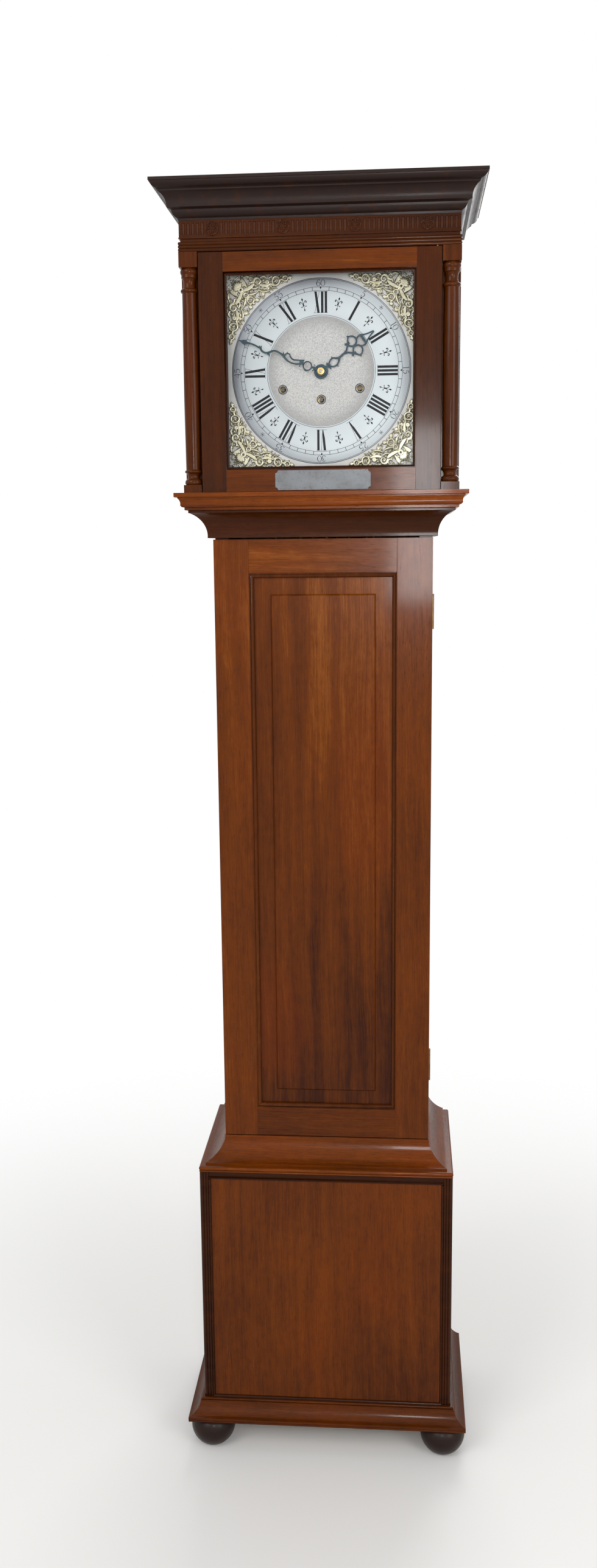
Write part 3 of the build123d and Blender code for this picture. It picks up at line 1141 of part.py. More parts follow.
def make_pendulum():
    y = PENDULUM_Y
    rod_top = ANCHOR_Z - SPRING_DROP
    nut_z = BOB_Z - BOB_RADIUS - RATING_NUT_GAP
    nut_top = nut_z + RATING_NUT_HEIGHT
    wide = SPRING_HALF_WIDTH
    spring_top = ANCHOR_Z + SPRING_RISE
    spring = block(-SPRING_HALF_THICK, SPRING_HALF_THICK, y - wide, y + wide, rod_top, spring_top)
    chops = block(
        -CHOP_HALF, CHOP_HALF, y - CHOP_HALF, y + CHOP_HALF, ANCHOR_Z + CHOP_FOOT, ANCHOR_Z + CHOP_TOP
    )
    rod = upright(ROD_RADIUS, 0, y, nut_z - ROD_TAIL, rod_top)
    nut = upright(RATING_NUT_RADIUS, 0, y, nut_z, nut_top)
    nut -= upright(ROD_RADIUS + FIT_GAP, 0, y, nut_z, nut_top)
    save("pendulum_rod", rod + spring + chops, nut)
    lens = [
        (0, -BOB_HALF_THICK), (BOB_RADIUS, -BOB_RIM, -BOB_SWELL), (BOB_RADIUS, BOB_RIM),
        (0, BOB_HALF_THICK, -BOB_SWELL),
    ]
    bob = Pos(0, y, BOB_Z) * Rot(90, 0, 0) * revolve(Plane.XZ * outline(lens), Axis.Z)
    bob -= upright(ROD_RADIUS + SOFT_GAP, 0, y, BOB_Z - BOB_RADIUS, BOB_Z + BOB_RADIUS)
    save("pendulum_bob", bob)


def make_weight(name, x):
    """Pulley in its stirrup, and the weight that hangs from the stirrup's crossbar."""
    y = DRUM_MID_Y
    z = PULLEY_Z
    groove = DRUM_LINE_RADIUS - LINE_RADIUS - SOFT_GAP
    half = PULLEY_THICK / 2
    rim = PULLEY_OUTER
    wheel = arbor(rim, x, z, y - half, y + half)
    lip = half * 0.8
    throat = half / 3
    beyond = rim + PULLEY_RIM / 2
    channel = outline([(groove, -throat), (beyond, -lip), (beyond, lip), (groove, throat)])
    wheel -= Pos(x, y, z) * revolve(Plane.XY * channel, Axis.Y)
    wheel -= arbor(PULLEY_AXLE + FIT_GAP, x, z, y - half, y + half)
    cheek_y = half + STIRRUP_GAP
    outer_y = cheek_y + STIRRUP_THICK
    end_y = outer_y + AXLE_STAND
    bar_top = z - rim - STIRRUP_CLEARANCE
    bar_low = bar_top - CROSSBAR_THICK
    stirrup = arbor(PULLEY_AXLE, x, z, y - end_y, y + end_y)
    stirrup += block(x - CROSSBAR_HALF, x + CROSSBAR_HALF, y - outer_y, y + outer_y, bar_low, bar_top)
    left = x - STIRRUP_HALF
    right = x + STIRRUP_HALF
    for y0 in (y - outer_y, y + cheek_y):
        stirrup += block(left, right, y0, y0 + STIRRUP_THICK, bar_low, z + STIRRUP_RISE)
    top = bar_low - HOOK_LENGTH
    body = upright(WEIGHT_RADIUS, x, y, top - WEIGHT_LENGTH, top)
    body = fillet(body.edges().filter_by(GeomType.CIRCLE), WEIGHT_ROUND)
    body += upright(HOOK_RADIUS, x, y, top, bar_low)
    save(f"{name}_weight", body, stirrup, wheel)


def make_line(name, x, drum_z):
    """Line from the drum down round the pulley and up to the seatboard, held taut by the weight."""
    r = DRUM_LINE_RADIUS
    line = upright(LINE_RADIUS, x - r, DRUM_MID_Y, PULLEY_Z, drum_z)
    line += upright(LINE_RADIUS, x + r, DRUM_MID_Y, PULLEY_Z, SEAT_Z)
    ring = Pos(x, DRUM_MID_Y, PULLEY_Z) * Rot(90, 0, 0) * Torus(r, LINE_RADIUS)
    far = PULLEY_OUTER
    lower = block(x - far, x + far, DRUM_MID_Y - far, DRUM_MID_Y + far, PULLEY_Z - far, PULLEY_Z)
    line += ring & lower
    save(f"{name}_line", line)


def main():
    os.makedirs("parts", exist_ok=True)
    foot_places = make_feet()
    make_base(foot_places)
    make_case_mouldings()
    make_carcase()
    make_hinges()
    make_trunk_door()
    make_hood()
    make_hood_door()
    make_dial()
    make_trains()
    make_motion_work()
    make_hands()
    make_movement()
    make_cocks()
    make_chime()
    make_pendulum()
    for name, (x, z) in TRAINS.items():
        make_weight(name, x)
        make_line(name, x, z)


main()
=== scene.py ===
"""The looks of a longcase clock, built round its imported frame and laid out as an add-on."""

import json
import math
import random

import bpy
from mathutils import Matrix, Vector

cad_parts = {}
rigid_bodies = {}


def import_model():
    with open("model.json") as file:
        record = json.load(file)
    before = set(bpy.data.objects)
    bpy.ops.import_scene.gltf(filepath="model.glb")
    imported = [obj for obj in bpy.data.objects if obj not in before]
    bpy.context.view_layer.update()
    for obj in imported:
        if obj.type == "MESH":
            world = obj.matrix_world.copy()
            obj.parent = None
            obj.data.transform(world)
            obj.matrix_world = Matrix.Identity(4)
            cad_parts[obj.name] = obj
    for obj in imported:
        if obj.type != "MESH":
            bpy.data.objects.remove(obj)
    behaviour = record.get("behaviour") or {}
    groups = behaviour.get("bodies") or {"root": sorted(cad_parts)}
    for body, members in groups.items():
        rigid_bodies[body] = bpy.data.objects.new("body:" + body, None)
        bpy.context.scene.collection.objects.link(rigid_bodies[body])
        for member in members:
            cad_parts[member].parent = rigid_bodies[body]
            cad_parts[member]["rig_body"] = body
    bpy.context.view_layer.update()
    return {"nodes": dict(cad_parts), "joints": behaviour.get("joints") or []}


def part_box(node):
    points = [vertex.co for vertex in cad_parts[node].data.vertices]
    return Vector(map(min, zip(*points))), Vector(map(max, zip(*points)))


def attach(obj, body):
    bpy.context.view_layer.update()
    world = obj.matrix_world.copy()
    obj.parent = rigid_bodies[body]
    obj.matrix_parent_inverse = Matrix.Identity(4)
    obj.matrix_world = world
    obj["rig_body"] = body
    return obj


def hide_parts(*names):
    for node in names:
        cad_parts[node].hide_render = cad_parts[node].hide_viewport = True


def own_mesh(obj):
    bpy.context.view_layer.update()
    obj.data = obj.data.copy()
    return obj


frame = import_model()

bl_info = {
    "name": "Longcase clock",
    "version": (1, 0, 0),
    "blender": (4, 5, 0),
    "location": "3D View > Sidebar > Clock",
    "description": "Dresses the frame of a longcase clock in wood, silvered dial, castings and hands",
    "category": "Object",
}

MM = 0.001
TRAINS = ("going", "strike", "chime")

dial_low, dial_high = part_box("dial_plate")
DIAL_Z = (dial_low.z + dial_high.z) / 2
DIAL_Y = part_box("dial_spandrels")[1].y
case_low, case_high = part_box("trunk_carcase")
MITRE = case_high.x + case_low.y


# Settings


class WoodSettings(bpy.types.PropertyGroup):
    light: bpy.props.FloatVectorProperty(
        name="Light figure", description="Colour of the light ribbons in the mahogany",
        default=(0.285, 0.080, 0.009), subtype="COLOR", min=0, max=1)
    middle: bpy.props.FloatVectorProperty(
        name="Middle tone", description="Colour of most of the mahogany",
        default=(0.133, 0.0288, 0.0015), subtype="COLOR", min=0, max=1)
    dark: bpy.props.FloatVectorProperty(
        name="Dark figure", description="Colour of the dark ribbons in the mahogany",
        default=(0.048, 0.0095, 0.0016), subtype="COLOR", min=0, max=1)
    ebonised: bpy.props.FloatVectorProperty(
        name="Ebonised wood", description="Colour of the stained feet, cornice and mask",
        default=(0.0125, 0.0060, 0.0045), subtype="COLOR", min=0, max=1)
    arris: bpy.props.FloatProperty(
        name="Arris", description="Width of the softened edges of the woodwork",
        default=0.5 * MM, unit="LENGTH", min=0, max=2 * MM)


class DialSettings(bpy.types.PropertyGroup):
    ring_inner: bpy.props.FloatProperty(
        name="Chapter ring bore", description="Inner radius of the chapter ring",
        default=70.2 * MM, unit="LENGTH")
    ring_outer: bpy.props.FloatProperty(
        name="Chapter ring", description="Outer radius of the chapter ring",
        default=118.4 * MM, unit="LENGTH")
    ring_rise: bpy.props.FloatProperty(
        name="Chapter ring rise", description="How far the chapter ring stands off the plate",
        default=0.5 * MM, unit="LENGTH")
    silver: bpy.props.FloatVectorProperty(
        name="Silvering", description="Colour of the silvered chapter ring",
        default=(0.440, 0.480, 0.497), subtype="COLOR", min=0, max=1)
    matting: bpy.props.FloatVectorProperty(
        name="Matted centre", description="Colour of the frosted centre of the dial",
        default=(0.455, 0.453, 0.443), subtype="COLOR", min=0, max=1)
    wax: bpy.props.FloatVectorProperty(
        name="Wax", description="Colour of the black wax in the engraving",
        default=(0.009, 0.009, 0.011), subtype="COLOR", min=0, max=1)


class HandSettings(bpy.types.PropertyGroup):
    minute_angle: bpy.props.FloatProperty(
        name="Minute hand", description="Turn of the minute hand from twelve, clockwise",
        default=math.radians(290.4), subtype="ANGLE")
    hour_angle: bpy.props.FloatProperty(
        name="Hour hand", description="Turn of the hour hand from twelve, clockwise",
        default=math.radians(54.2), subtype="ANGLE")
    blue: bpy.props.FloatVectorProperty(
        name="Blued steel", description="Colour of the blued hands",
        default=(0.024, 0.038, 0.052), subtype="COLOR", min=0, max=1)


class CastingSettings(bpy.types.PropertyGroup):
    gilt: bpy.props.FloatVectorProperty(
        name="Casting", description="Colour of the worn, silvered brass of the spandrels",
        default=(0.50, 0.475, 0.35), subtype="COLOR", min=0, max=1)
    grain: bpy.props.FloatProperty(
        name="Casting grain", description="Size of the smallest form kept in the castings",
        default=0.40 * MM, unit="LENGTH", min=0.1 * MM, max=2 * MM)


class StageSettings(bpy.types.PropertyGroup):
    camera_place: bpy.props.FloatVectorProperty(
        name="Camera", description="Place of the camera",
        default=(0.1083, -1.86825, 1.3369), subtype="TRANSLATION", unit="LENGTH")
    yaw: bpy.props.FloatProperty(
        name="Yaw", description="Turn of the camera about the upright, to the right",
        default=math.radians(-4.557), subtype="ANGLE")
    pitch: bpy.props.FloatProperty(
        name="Pitch", description="Tilt of the camera upwards",
        default=math.radians(-10.184), subtype="ANGLE")
    roll: bpy.props.FloatProperty(
        name="Roll", description="Turn of the camera about its own line of sight",
        default=math.radians(-0.580), subtype="ANGLE")
    lens: bpy.props.FloatProperty(
        name="Lens", description="Focal length of the camera in millimetres",
        default=30.19, min=1, max=300)
    floor: bpy.props.FloatVectorProperty(
        name="Floor", description="Colour of the plain floor",
        default=(0.80, 0.79, 0.77), subtype="COLOR", min=0, max=1)
    daylight: bpy.props.FloatProperty(
        name="Daylight", description="Strength of the plain light from all round",
        default=0.58, min=0, max=4)


SETTINGS = {
    "clock_wood": WoodSettings,
    "clock_dial": DialSettings,
    "clock_hands": HandSettings,
    "clock_castings": CastingSettings,
    "clock_stage": StageSettings,
}


# Finishes


class Number:
    """A number that varies over a surface. Python's operators on it add Math nodes."""

    def __init__(self, finish, socket):
        self.finish = finish
        self.socket = socket

    def __add__(self, other):
        return self.finish.maths("ADD", self, other)

    def __sub__(self, other):
        return self.finish.maths("SUBTRACT", self, other)

    def __rsub__(self, other):
        return self.finish.maths("SUBTRACT", other, self)

    def __mul__(self, other):
        return self.finish.maths("MULTIPLY", self, other)

    def __pow__(self, other):
        return self.finish.maths("POWER", self, other)

    __radd__ = __add__
    __rmul__ = __mul__


class Finish:
    """A material with its nodes."""

    def __init__(self, name):
        self.material = bpy.data.materials.new(name)
        self.material.use_nodes = True
        self.nodes = self.material.node_tree.nodes
        self.links = self.material.node_tree.links
        self.nodes.clear()
        place = self.add("ShaderNodeSeparateXYZ", {}, {
            "Vector": self.add("ShaderNodeTexCoord").outputs["Object"]})
        self.x, self.y, self.z = (Number(self, place.outputs[axis]) for axis in "XYZ")

    def add(self, kind, settings=None, inputs=None):
        """Adds a node, makes its settings, and then gives its sockets values or links."""
        node = self.nodes.new(kind)
        for key, value in (settings or {}).items():
            if key == "stops":
                stops = node.color_ramp.elements
                while len(stops) < len(value):
                    stops.new(1.0)
                for stop, (position, colour) in zip(stops, value):
                    stop.position = position
                    stop.color = (*colour, 1.0)
            else:
                setattr(node, key, value)
        for key, value in (inputs or {}).items():
            if isinstance(value, Number):
                value = value.socket
            if isinstance(value, bpy.types.NodeSocket):
                self.links.new(value, node.inputs[key])
            else:
                node.inputs[key].default_value = value
        return node

    def maths(self, operation, *values):
        node = self.add("ShaderNodeMath", {"operation": operation}, dict(enumerate(values)))
        return Number(self, node.outputs[0])

    def between(self, value, low, high):
        """Rises smoothly from 0 at low to 1 at high."""
        node = self.add("ShaderNodeMapRange", {"interpolation_type": "SMOOTHSTEP"},
                        {"Value": value, "From Min": low, "From Max": high})
        return Number(self, node.outputs["Result"])

    def noise(self, x, y, z, detail=2.0, roughness=0.5):
        """Even noise from 0 to 1. Its lumps are about 1 in size in the given numbers."""
        vector = self.add("ShaderNodeCombineXYZ", {}, {"X": x, "Y": y, "Z": z})
        node = self.add("ShaderNodeTexNoise", {}, {
            "Vector": vector.outputs[0], "Scale": 1.0, "Detail": detail, "Roughness": roughness})
        return Number(self, node.outputs["Fac"])

    def lumps(self, per_metre, detail=2.0, roughness=0.5):
        place = (axis * per_metre for axis in (self.x, self.y, self.z))
        return self.noise(*place, detail, roughness)

    def ramp(self, value, *stops):
        return self.add("ShaderNodeValToRGB", {"stops": stops}, {"Fac": value}).outputs["Color"]

    def blend(self, factor, first, second):
        """Goes from the first colour to the second."""
        node = self.add("ShaderNodeMix", {"data_type": "RGBA"}, {
            0: factor, 6: opaque(first), 7: opaque(second)})
        return node.outputs[2]

    def bump(self, height, depth, strength=1.0):
        return self.add("ShaderNodeBump", {}, {
            "Height": height, "Distance": depth, "Strength": strength}).outputs["Normal"]

    def surface(self, colour, roughness, **more):
        inputs = {"Base Color": opaque(colour), "Roughness": roughness}
        inputs.update({key.replace("_", " "): value for key, value in more.items()})
        body = self.add("ShaderNodeBsdfPrincipled", {}, inputs)
        self.add("ShaderNodeOutputMaterial", {}, {"Surface": body.outputs[0]})
        return self.material


def opaque(colour):
    """A tuple is a plain colour and gets its alpha. A socket is left as it is."""
    return (*colour, 1.0) if isinstance(colour, tuple) else colour


def darker(colour, share):
    return tuple(channel * share for channel in colour)


def along_grain(finish, run):
    """(along, across, depth) of the grain that runs along x, y or z, or turns at the mitres."""
    x, y, z = finish.x, finish.y, finish.z
    if run == "z":
        return z, x, y
    if run == "x":
        return x, z, y
    if run == "y":
        return y, z, x
    returned = finish.maths("GREATER_THAN", finish.maths("ABSOLUTE", x) + y, MITRE)
    return x + (y - x) * returned, z, y + (x - y) * returned


def mahogany(name, run, tone=1.0, figure=1.0, shift=0.0, polish=0.24, fade=0.0):
    """Old polished mahogany with ribbons, fibres and open pores. fade darkens it downwards, as painted shade.
    """
    wood = bpy.context.scene.clock_wood
    finish = Finish(name)
    along, across, depth = along_grain(finish, run)
    along = along + shift
    wander = finish.noise(along * 4, across * 9, depth * 9, detail=2) - 0.5
    line = across + wander * 0.014 + along * 0.01
    ribbon = finish.noise(along * 2.6, line * 66, depth * 66, detail=3, roughness=0.6)
    fibre = finish.noise(along * 24, line * 620, depth * 620, detail=3, roughness=0.6)
    feather = finish.noise(along * 60, line * 90, depth * 90, detail=3, roughness=0.6)
    pore = finish.noise(along * 95, line * 1900, depth * 1900, detail=1)
    cloud = finish.noise(along * 3.4, across * 6 + shift, depth * 6, detail=2)
    light, middle, dark = map(tuple, (wood.light, wood.middle, wood.dark))
    # The term in finish.z is painted shade: the wood darkens below a metre and lightens above it.
    mark = ((ribbon - 0.5) * figure * 1.3 + (fibre - 0.5) * 0.40 + (feather - 0.5) * 0.22
            + (cloud - 0.5) * 0.45 + 0.5 + (finish.z - 1.0) * fade)
    colour = finish.ramp(mark, (0.20, darker(dark, tone)), (0.44, darker(middle, tone * 0.88)),
                         (0.60, darker(middle, tone * 1.22)), (0.82, darker(light, tone)))
    red = (middle[0] * tone * 1.15, middle[1] * tone * 0.75, middle[2] * tone)
    colour = finish.blend(finish.between(cloud, 0.52, 0.72) * (figure * 0.6), colour, red)
    open_pore = finish.between(pore, 0.60, 0.70)
    colour = finish.blend(open_pore * 0.45, colour, darker(dark, tone * 0.5))
    rough = polish + open_pore * 0.22 + (1 - fibre) * 0.08 + (cloud - 0.5) * 0.10
    height = fibre * 0.25 - open_pore
    return finish.surface(colour, rough, Normal=finish.bump(height, 0.12 * MM, 0.3),
                          Specular_IOR_Level=0.07, Coat_Weight=0.10, Coat_Roughness=0.09)


def ebonised(name, run, shift=0.0, polish=0.28):
    """Black stained wood, rubbed brown in patches and through its polish."""
    wood = bpy.context.scene.clock_wood
    finish = Finish(name)
    along, across, depth = along_grain(finish, run)
    streak = finish.noise((along + shift) * 10, across * 320, depth * 320, detail=3)
    rubbed = finish.between(finish.lumps(55, detail=4, roughness=0.65), 0.52, 0.72)
    pore = finish.between(finish.noise(along * 90, across * 1700, depth * 1700, detail=1), 0.6, 0.7)
    black = tuple(wood.ebonised)
    colour = finish.blend(rubbed * 0.5 + streak * 0.15, black, darker(tuple(wood.middle), 0.28))
    rough = polish + streak * 0.12 + pore * 0.2 + rubbed * 0.08
    return finish.surface(colour, rough, Normal=finish.bump(streak * 0.3 - pore, 0.1 * MM, 0.35),
                          Specular_IOR_Level=0.16, Coat_Weight=0.03, Coat_Roughness=0.14)


def plain_board(name, run):
    """Oak left bare inside and behind, brown with age and dust."""
    finish = Finish(name)
    along, across, depth = along_grain(finish, run)
    wander = finish.noise(along * 3, across * 7, depth * 7) - 0.5
    line = across + wander * 0.02
    ring = finish.noise(along * 1.5, line * 55, depth * 55, detail=3)
    fleck = finish.between(finish.noise(along * 60, line * 420, depth * 420, detail=2), 0.55, 0.68)
    saw = finish.noise(along * 300, line * 14, depth * 14, detail=1)
    dust = finish.lumps(14, detail=3)
    colour = finish.ramp(ring, (0.3, (0.085, 0.045, 0.018)), (0.5, (0.16, 0.092, 0.040)),
                         (0.72, (0.235, 0.145, 0.068)))
    colour = finish.blend(fleck * 0.35, colour, (0.075, 0.04, 0.016))
    colour = finish.blend(dust * 0.25, colour, (0.26, 0.21, 0.15))
    return finish.surface(colour, 0.62 + fleck * 0.15,
                          Normal=finish.bump(saw * 0.5 - fleck, 0.15 * MM, 0.5))


def dial_silver(name):
    """Silvered brass: a pale chapter ring, a frosted centre and patches of tarnish, with painted shade on the
    left of the ring, along its rim, round the edge of the centre and round the sight.
    """
    dial = bpy.context.scene.clock_dial
    finish = Finish(name)
    up = finish.z - DIAL_Z
    radius = finish.maths("SQRT", finish.x * finish.x + up * up)
    grain = finish.lumps(3200, detail=2)
    frost = finish.lumps(760, detail=3, roughness=0.7)
    cloud = finish.lumps(28, detail=4, roughness=0.6)
    patch = finish.lumps(60, detail=3, roughness=0.6)
    # Painted shade: the chapter ring darkens towards its left and top left.
    left = finish.between(up * 0.35 - finish.x, -0.06, 0.13)
    ring, matting = tuple(dial.silver), tuple(dial.matting)
    # Painted shade: the matted centre darkens towards the chapter ring.
    edge = finish.between(radius, 0.040, 0.0705)
    centre = finish.blend(edge * edge * 0.62, matting, darker(matting, 0.45))
    centre = finish.blend(finish.between(frost, 0.40, 0.62) * 0.55, centre, darker(matting, 0.42))
    on_ring = finish.maths("GREATER_THAN", radius, dial.ring_inner - 0.1 * MM)
    colour = finish.blend(left * 0.44, ring, darker(ring, 0.52))
    # Painted shade: the ring's outer rim darkens to blue grey, most of all on the left.
    rim = finish.between(radius, 0.096, 0.120) * (left * 0.75 + 0.25)
    colour = finish.blend(rim * 0.72, colour, (0.135, 0.145, 0.175))
    colour = finish.blend(on_ring, centre, colour)
    outside = finish.maths("GREATER_THAN", radius, dial.ring_outer + 0.2 * MM)
    # Painted shadow of the door's sight: the plate darkens to blue grey towards its square outer edge.
    sight_shadow = finish.between(finish.maths("MAXIMUM", finish.maths("ABSOLUTE", finish.x),
                                         finish.maths("ABSOLUTE", up)), 0.116, 0.126)
    plate = finish.blend(sight_shadow * 0.6, darker(matting, 0.95), (0.20, 0.215, 0.235))
    plate = finish.blend(finish.between(patch, 0.42, 0.68) * 0.30, plate, (0.33, 0.31, 0.24))
    colour = finish.blend(outside, colour, plate)
    colour = finish.blend(finish.between(cloud, 0.45, 0.75) * 0.18, colour, (0.42, 0.41, 0.37))
    rough = 0.42 + grain * 0.10 + (1 - on_ring) * 0.10 + patch * 0.05
    height = grain * 0.4 + frost * (1.2 - on_ring)
    return finish.surface(colour, rough, Metallic=0.3, Normal=finish.bump(height, 0.06 * MM, 0.5))


def plate_silver(name):
    """Rubbed silver plate, left bare."""
    finish = Finish(name)
    scratch = finish.noise(finish.x * 60, finish.y * 60, finish.z * 2600, detail=2)
    haze = finish.lumps(60, detail=4, roughness=0.6)
    spot = finish.between(finish.lumps(420, detail=3, roughness=0.7), 0.56, 0.72)
    colour = finish.blend(finish.between(haze, 0.45, 0.75) * 0.5,
                          (0.130, 0.136, 0.144), (0.085, 0.082, 0.073))
    colour = finish.blend(spot * 0.5 + scratch * 0.2, colour, (0.045, 0.044, 0.040))
    return finish.surface(colour, 0.34 + haze * 0.16 + scratch * 0.08, Metallic=0.8,
                          Normal=finish.bump(scratch, 0.02 * MM, 0.4))


def metal(name, clean, aged, rough, grain=900, wear=0.5, metallic=1.0, pits=0.04 * MM):
    """A worked metal with patches of age and fine tool marks."""
    finish = Finish(name)
    age = finish.lumps(90, detail=4, roughness=0.65)
    mark = finish.lumps(grain, detail=2)
    worn = finish.between(age, 0.5 - wear * 0.3, 0.85)
    colour = finish.blend(worn, clean, aged)
    return finish.surface(colour, rough + worn * 0.18 + mark * 0.08, Metallic=metallic,
                          Normal=finish.bump(mark, pits, 0.4))


def arbor_metal(name, axis_x, axis_z, reach, brass, steel):
    """Brass wheelwork with a steel arbor and pinion on the given line."""
    finish = Finish(name)
    across, up = finish.x - axis_x, finish.z - axis_z
    radius = finish.maths("SQRT", across * across + up * up)
    is_steel = 1 - finish.between(radius, reach - 0.1 * MM, reach + 0.1 * MM)
    age = finish.lumps(110, detail=4, roughness=0.65)
    turned = finish.noise(radius * 5200, finish.y * 300, 0.0, detail=1)
    worn = finish.between(age, 0.42, 0.8)
    colour = finish.blend(worn * 0.7, finish.blend(is_steel, brass, steel),
                          finish.blend(is_steel, darker(brass, 0.38), darker(steel, 0.5)))
    return finish.surface(colour, 0.24 + worn * 0.2 + turned * 0.08, Metallic=1.0,
                          Normal=finish.bump(turned, 0.02 * MM, 0.4))


def cast_gilt(name):
    """Cast and silvered brass, bright on its high forms and dark in its hollows."""
    gilt = tuple(bpy.context.scene.clock_castings.gilt)
    finish = Finish(name)
    height = (DIAL_Y - finish.y) * (1 / MM)
    high = finish.between(height, 0.9, 2.7)
    rim = Number(finish, finish.add("ShaderNodeNewGeometry").outputs["Pointiness"])
    raised = finish.between(rim, 0.47, 0.53)
    sand = finish.lumps(2400, detail=3)
    age = finish.lumps(120, detail=4, roughness=0.65)
    # Darker towards the plate: patina in the hollows together with painted shade between the forms.
    colour = finish.blend(high * 0.55 + raised * 0.45, (0.060, 0.051, 0.028), gilt)
    colour = finish.blend(finish.between(age, 0.48, 0.72) * 0.55, colour, (0.23, 0.20, 0.105))
    return finish.surface(colour, 0.32 + age * 0.15 - raised * 0.08, Metallic=0.6,
                          Normal=finish.bump(sand, 0.06 * MM, 0.5))


def wax(name):
    """Black wax, a little glossy, in engraved lines."""
    black = tuple(bpy.context.scene.clock_dial.wax)
    finish = Finish(name)
    worn = finish.between(finish.lumps(260, detail=3, roughness=0.6), 0.5, 0.8)
    grain = finish.lumps(4200, detail=1)
    return finish.surface(finish.blend(worn * 0.3, black, (0.05, 0.05, 0.05)), 0.36 + worn * 0.2,
                          Normal=finish.bump(grain, 0.02 * MM, 0.4), Specular_IOR_Level=0.15)


def blued_steel(name):
    """Steel blued by heat, slate blue with darker and greener patches."""
    blue = tuple(bpy.context.scene.clock_hands.blue)
    finish = Finish(name)
    heat = finish.lumps(120, detail=3, roughness=0.6)
    file_mark = finish.lumps(3000, detail=1)
    colour = finish.blend(finish.between(heat, 0.4, 0.7), blue, (0.032, 0.060, 0.064))
    return finish.surface(colour, 0.30 + heat * 0.15, Metallic=0.7,
                          Normal=finish.bump(file_mark, 0.02 * MM, 0.4))


def gut(name):
    """Twisted gut line."""
    finish = Finish(name)
    twist = finish.maths("SINE", finish.z * 2600 + finish.x * 3000 + finish.y * 3000) * 0.5 + 0.5
    soil = finish.lumps(70, detail=3)
    colour = finish.blend(twist * 0.4 + soil * 0.3, (0.46, 0.33, 0.17), (0.23, 0.145, 0.06))
    return finish.surface(colour, 0.42 + soil * 0.15, Normal=finish.bump(twist, 0.1 * MM, 0.6))


def window_glass(name):
    """A clear old pane: what is behind it shows, and its face reflects a little."""
    finish = Finish(name)
    wave = finish.lumps(14, detail=1)
    face = finish.add("ShaderNodeBsdfPrincipled", {}, {
        "Base Color": (0.9, 0.94, 0.92, 1.0), "Roughness": 0.04, "Metallic": 1.0,
        "Normal": finish.bump(wave, 0.4 * MM, 0.3)})
    slope = finish.add("ShaderNodeLayerWeight", {}, {"Blend": 0.5})
    slant = Number(finish, slope.outputs["Facing"])
    mix = finish.add("ShaderNodeMixShader", {}, {
        0: slant ** 4 * 0.6 + 0.001,
        1: finish.add("ShaderNodeBsdfTransparent").outputs[0],
        2: face.outputs[0]})
    finish.add("ShaderNodeOutputMaterial", {}, {"Surface": mix.outputs[0]})
    return finish.material


BRASS = (0.62, 0.44, 0.17)
OLD_BRASS = (0.25, 0.155, 0.06)
STEEL = (0.30, 0.30, 0.31)
OLD_STEEL = (0.14, 0.12, 0.11)
# Steel darkened as painted shade, for the winding squares that sit in the shadow of their holes.
SHADED_ARBOR_STEEL = (0.075, 0.07, 0.065)
STAINED_BRASS = (0.23, 0.145, 0.06)
DARK_BRASS = (0.085, 0.055, 0.028)


# Workshop


MERGE = 0.003 * MM
FLAT = math.radians(0.4)
FINE_GRAIN = 0.22 * MM
ROUND = 60


def only(*objects):
    """Selects these objects alone and makes the first one active."""
    bpy.ops.object.select_all(action="DESELECT")
    for o in objects:
        o.select_set(True)
    bpy.context.view_layer.objects.active = objects[0]


def in_edit(piece, *steps):
    """Runs edit-mode steps on all of a mesh. A step is an operator and its settings."""
    only(piece)
    bpy.ops.object.mode_set(mode="EDIT")
    bpy.ops.mesh.select_all(action="SELECT")
    for operator, settings in steps:
        operator(**settings)
    bpy.ops.object.mode_set(mode="OBJECT")
    return piece


def joined(name, *objects):
    only(*objects)
    if len(objects) > 1:
        bpy.ops.object.join()
    piece = bpy.context.view_layer.objects.active
    piece.name = name
    piece.data.name = name
    return piece


def settled(piece):
    """Puts a piece's place into its mesh, so that its object sits at the origin."""
    only(piece)
    bpy.ops.object.transform_apply(location=True, rotation=True, scale=True)
    return piece


def with_modifier(piece, kind, **settings):
    only(piece)
    bpy.ops.object.modifier_add(type=kind)
    modifier = piece.modifiers[-1]
    for key, value in settings.items():
        setattr(modifier, key, value)
    bpy.ops.object.modifier_apply(modifier=modifier.name)
    return piece


def arrised(piece, width, angle=32):
    return with_modifier(piece, "BEVEL", width=width, segments=2, limit_method="ANGLE",
                         angle_limit=math.radians(angle), use_clamp_overlap=True)


def smoothed(piece, angle=32):
    only(piece)
    bpy.ops.object.shade_smooth_by_angle(angle=math.radians(angle))
    return piece


def placed(piece, body, material, nodes=()):
    """Gives a finished piece its material and its body, and hides the nodes it stands for."""
    piece.data.materials.clear()
    piece.data.materials.append(material)
    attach(piece, body)
    if nodes:
        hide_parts(*nodes)
    return piece


def dressed(node, material, arris=None, angle=32, smooth=32):
    """A merged copy of a CAD node with softened arrises, in the node's place."""
    source = frame["nodes"][node]
    piece = bpy.data.objects.new(f"{node}_finished", source.data.copy())
    bpy.context.scene.collection.objects.link(piece)
    in_edit(piece,
            (bpy.ops.mesh.customdata_custom_splitnormals_clear, {}),
            (bpy.ops.mesh.remove_doubles, {"threshold": MERGE}),
            (bpy.ops.mesh.dissolve_limited, {"angle_limit": FLAT}))
    if arris:
        arrised(piece, arris, angle=angle)
    smoothed(piece, smooth)
    with_modifier(piece, "WEIGHTED_NORMAL", keep_sharp=True)
    return placed(piece, source["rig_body"], material, [node])


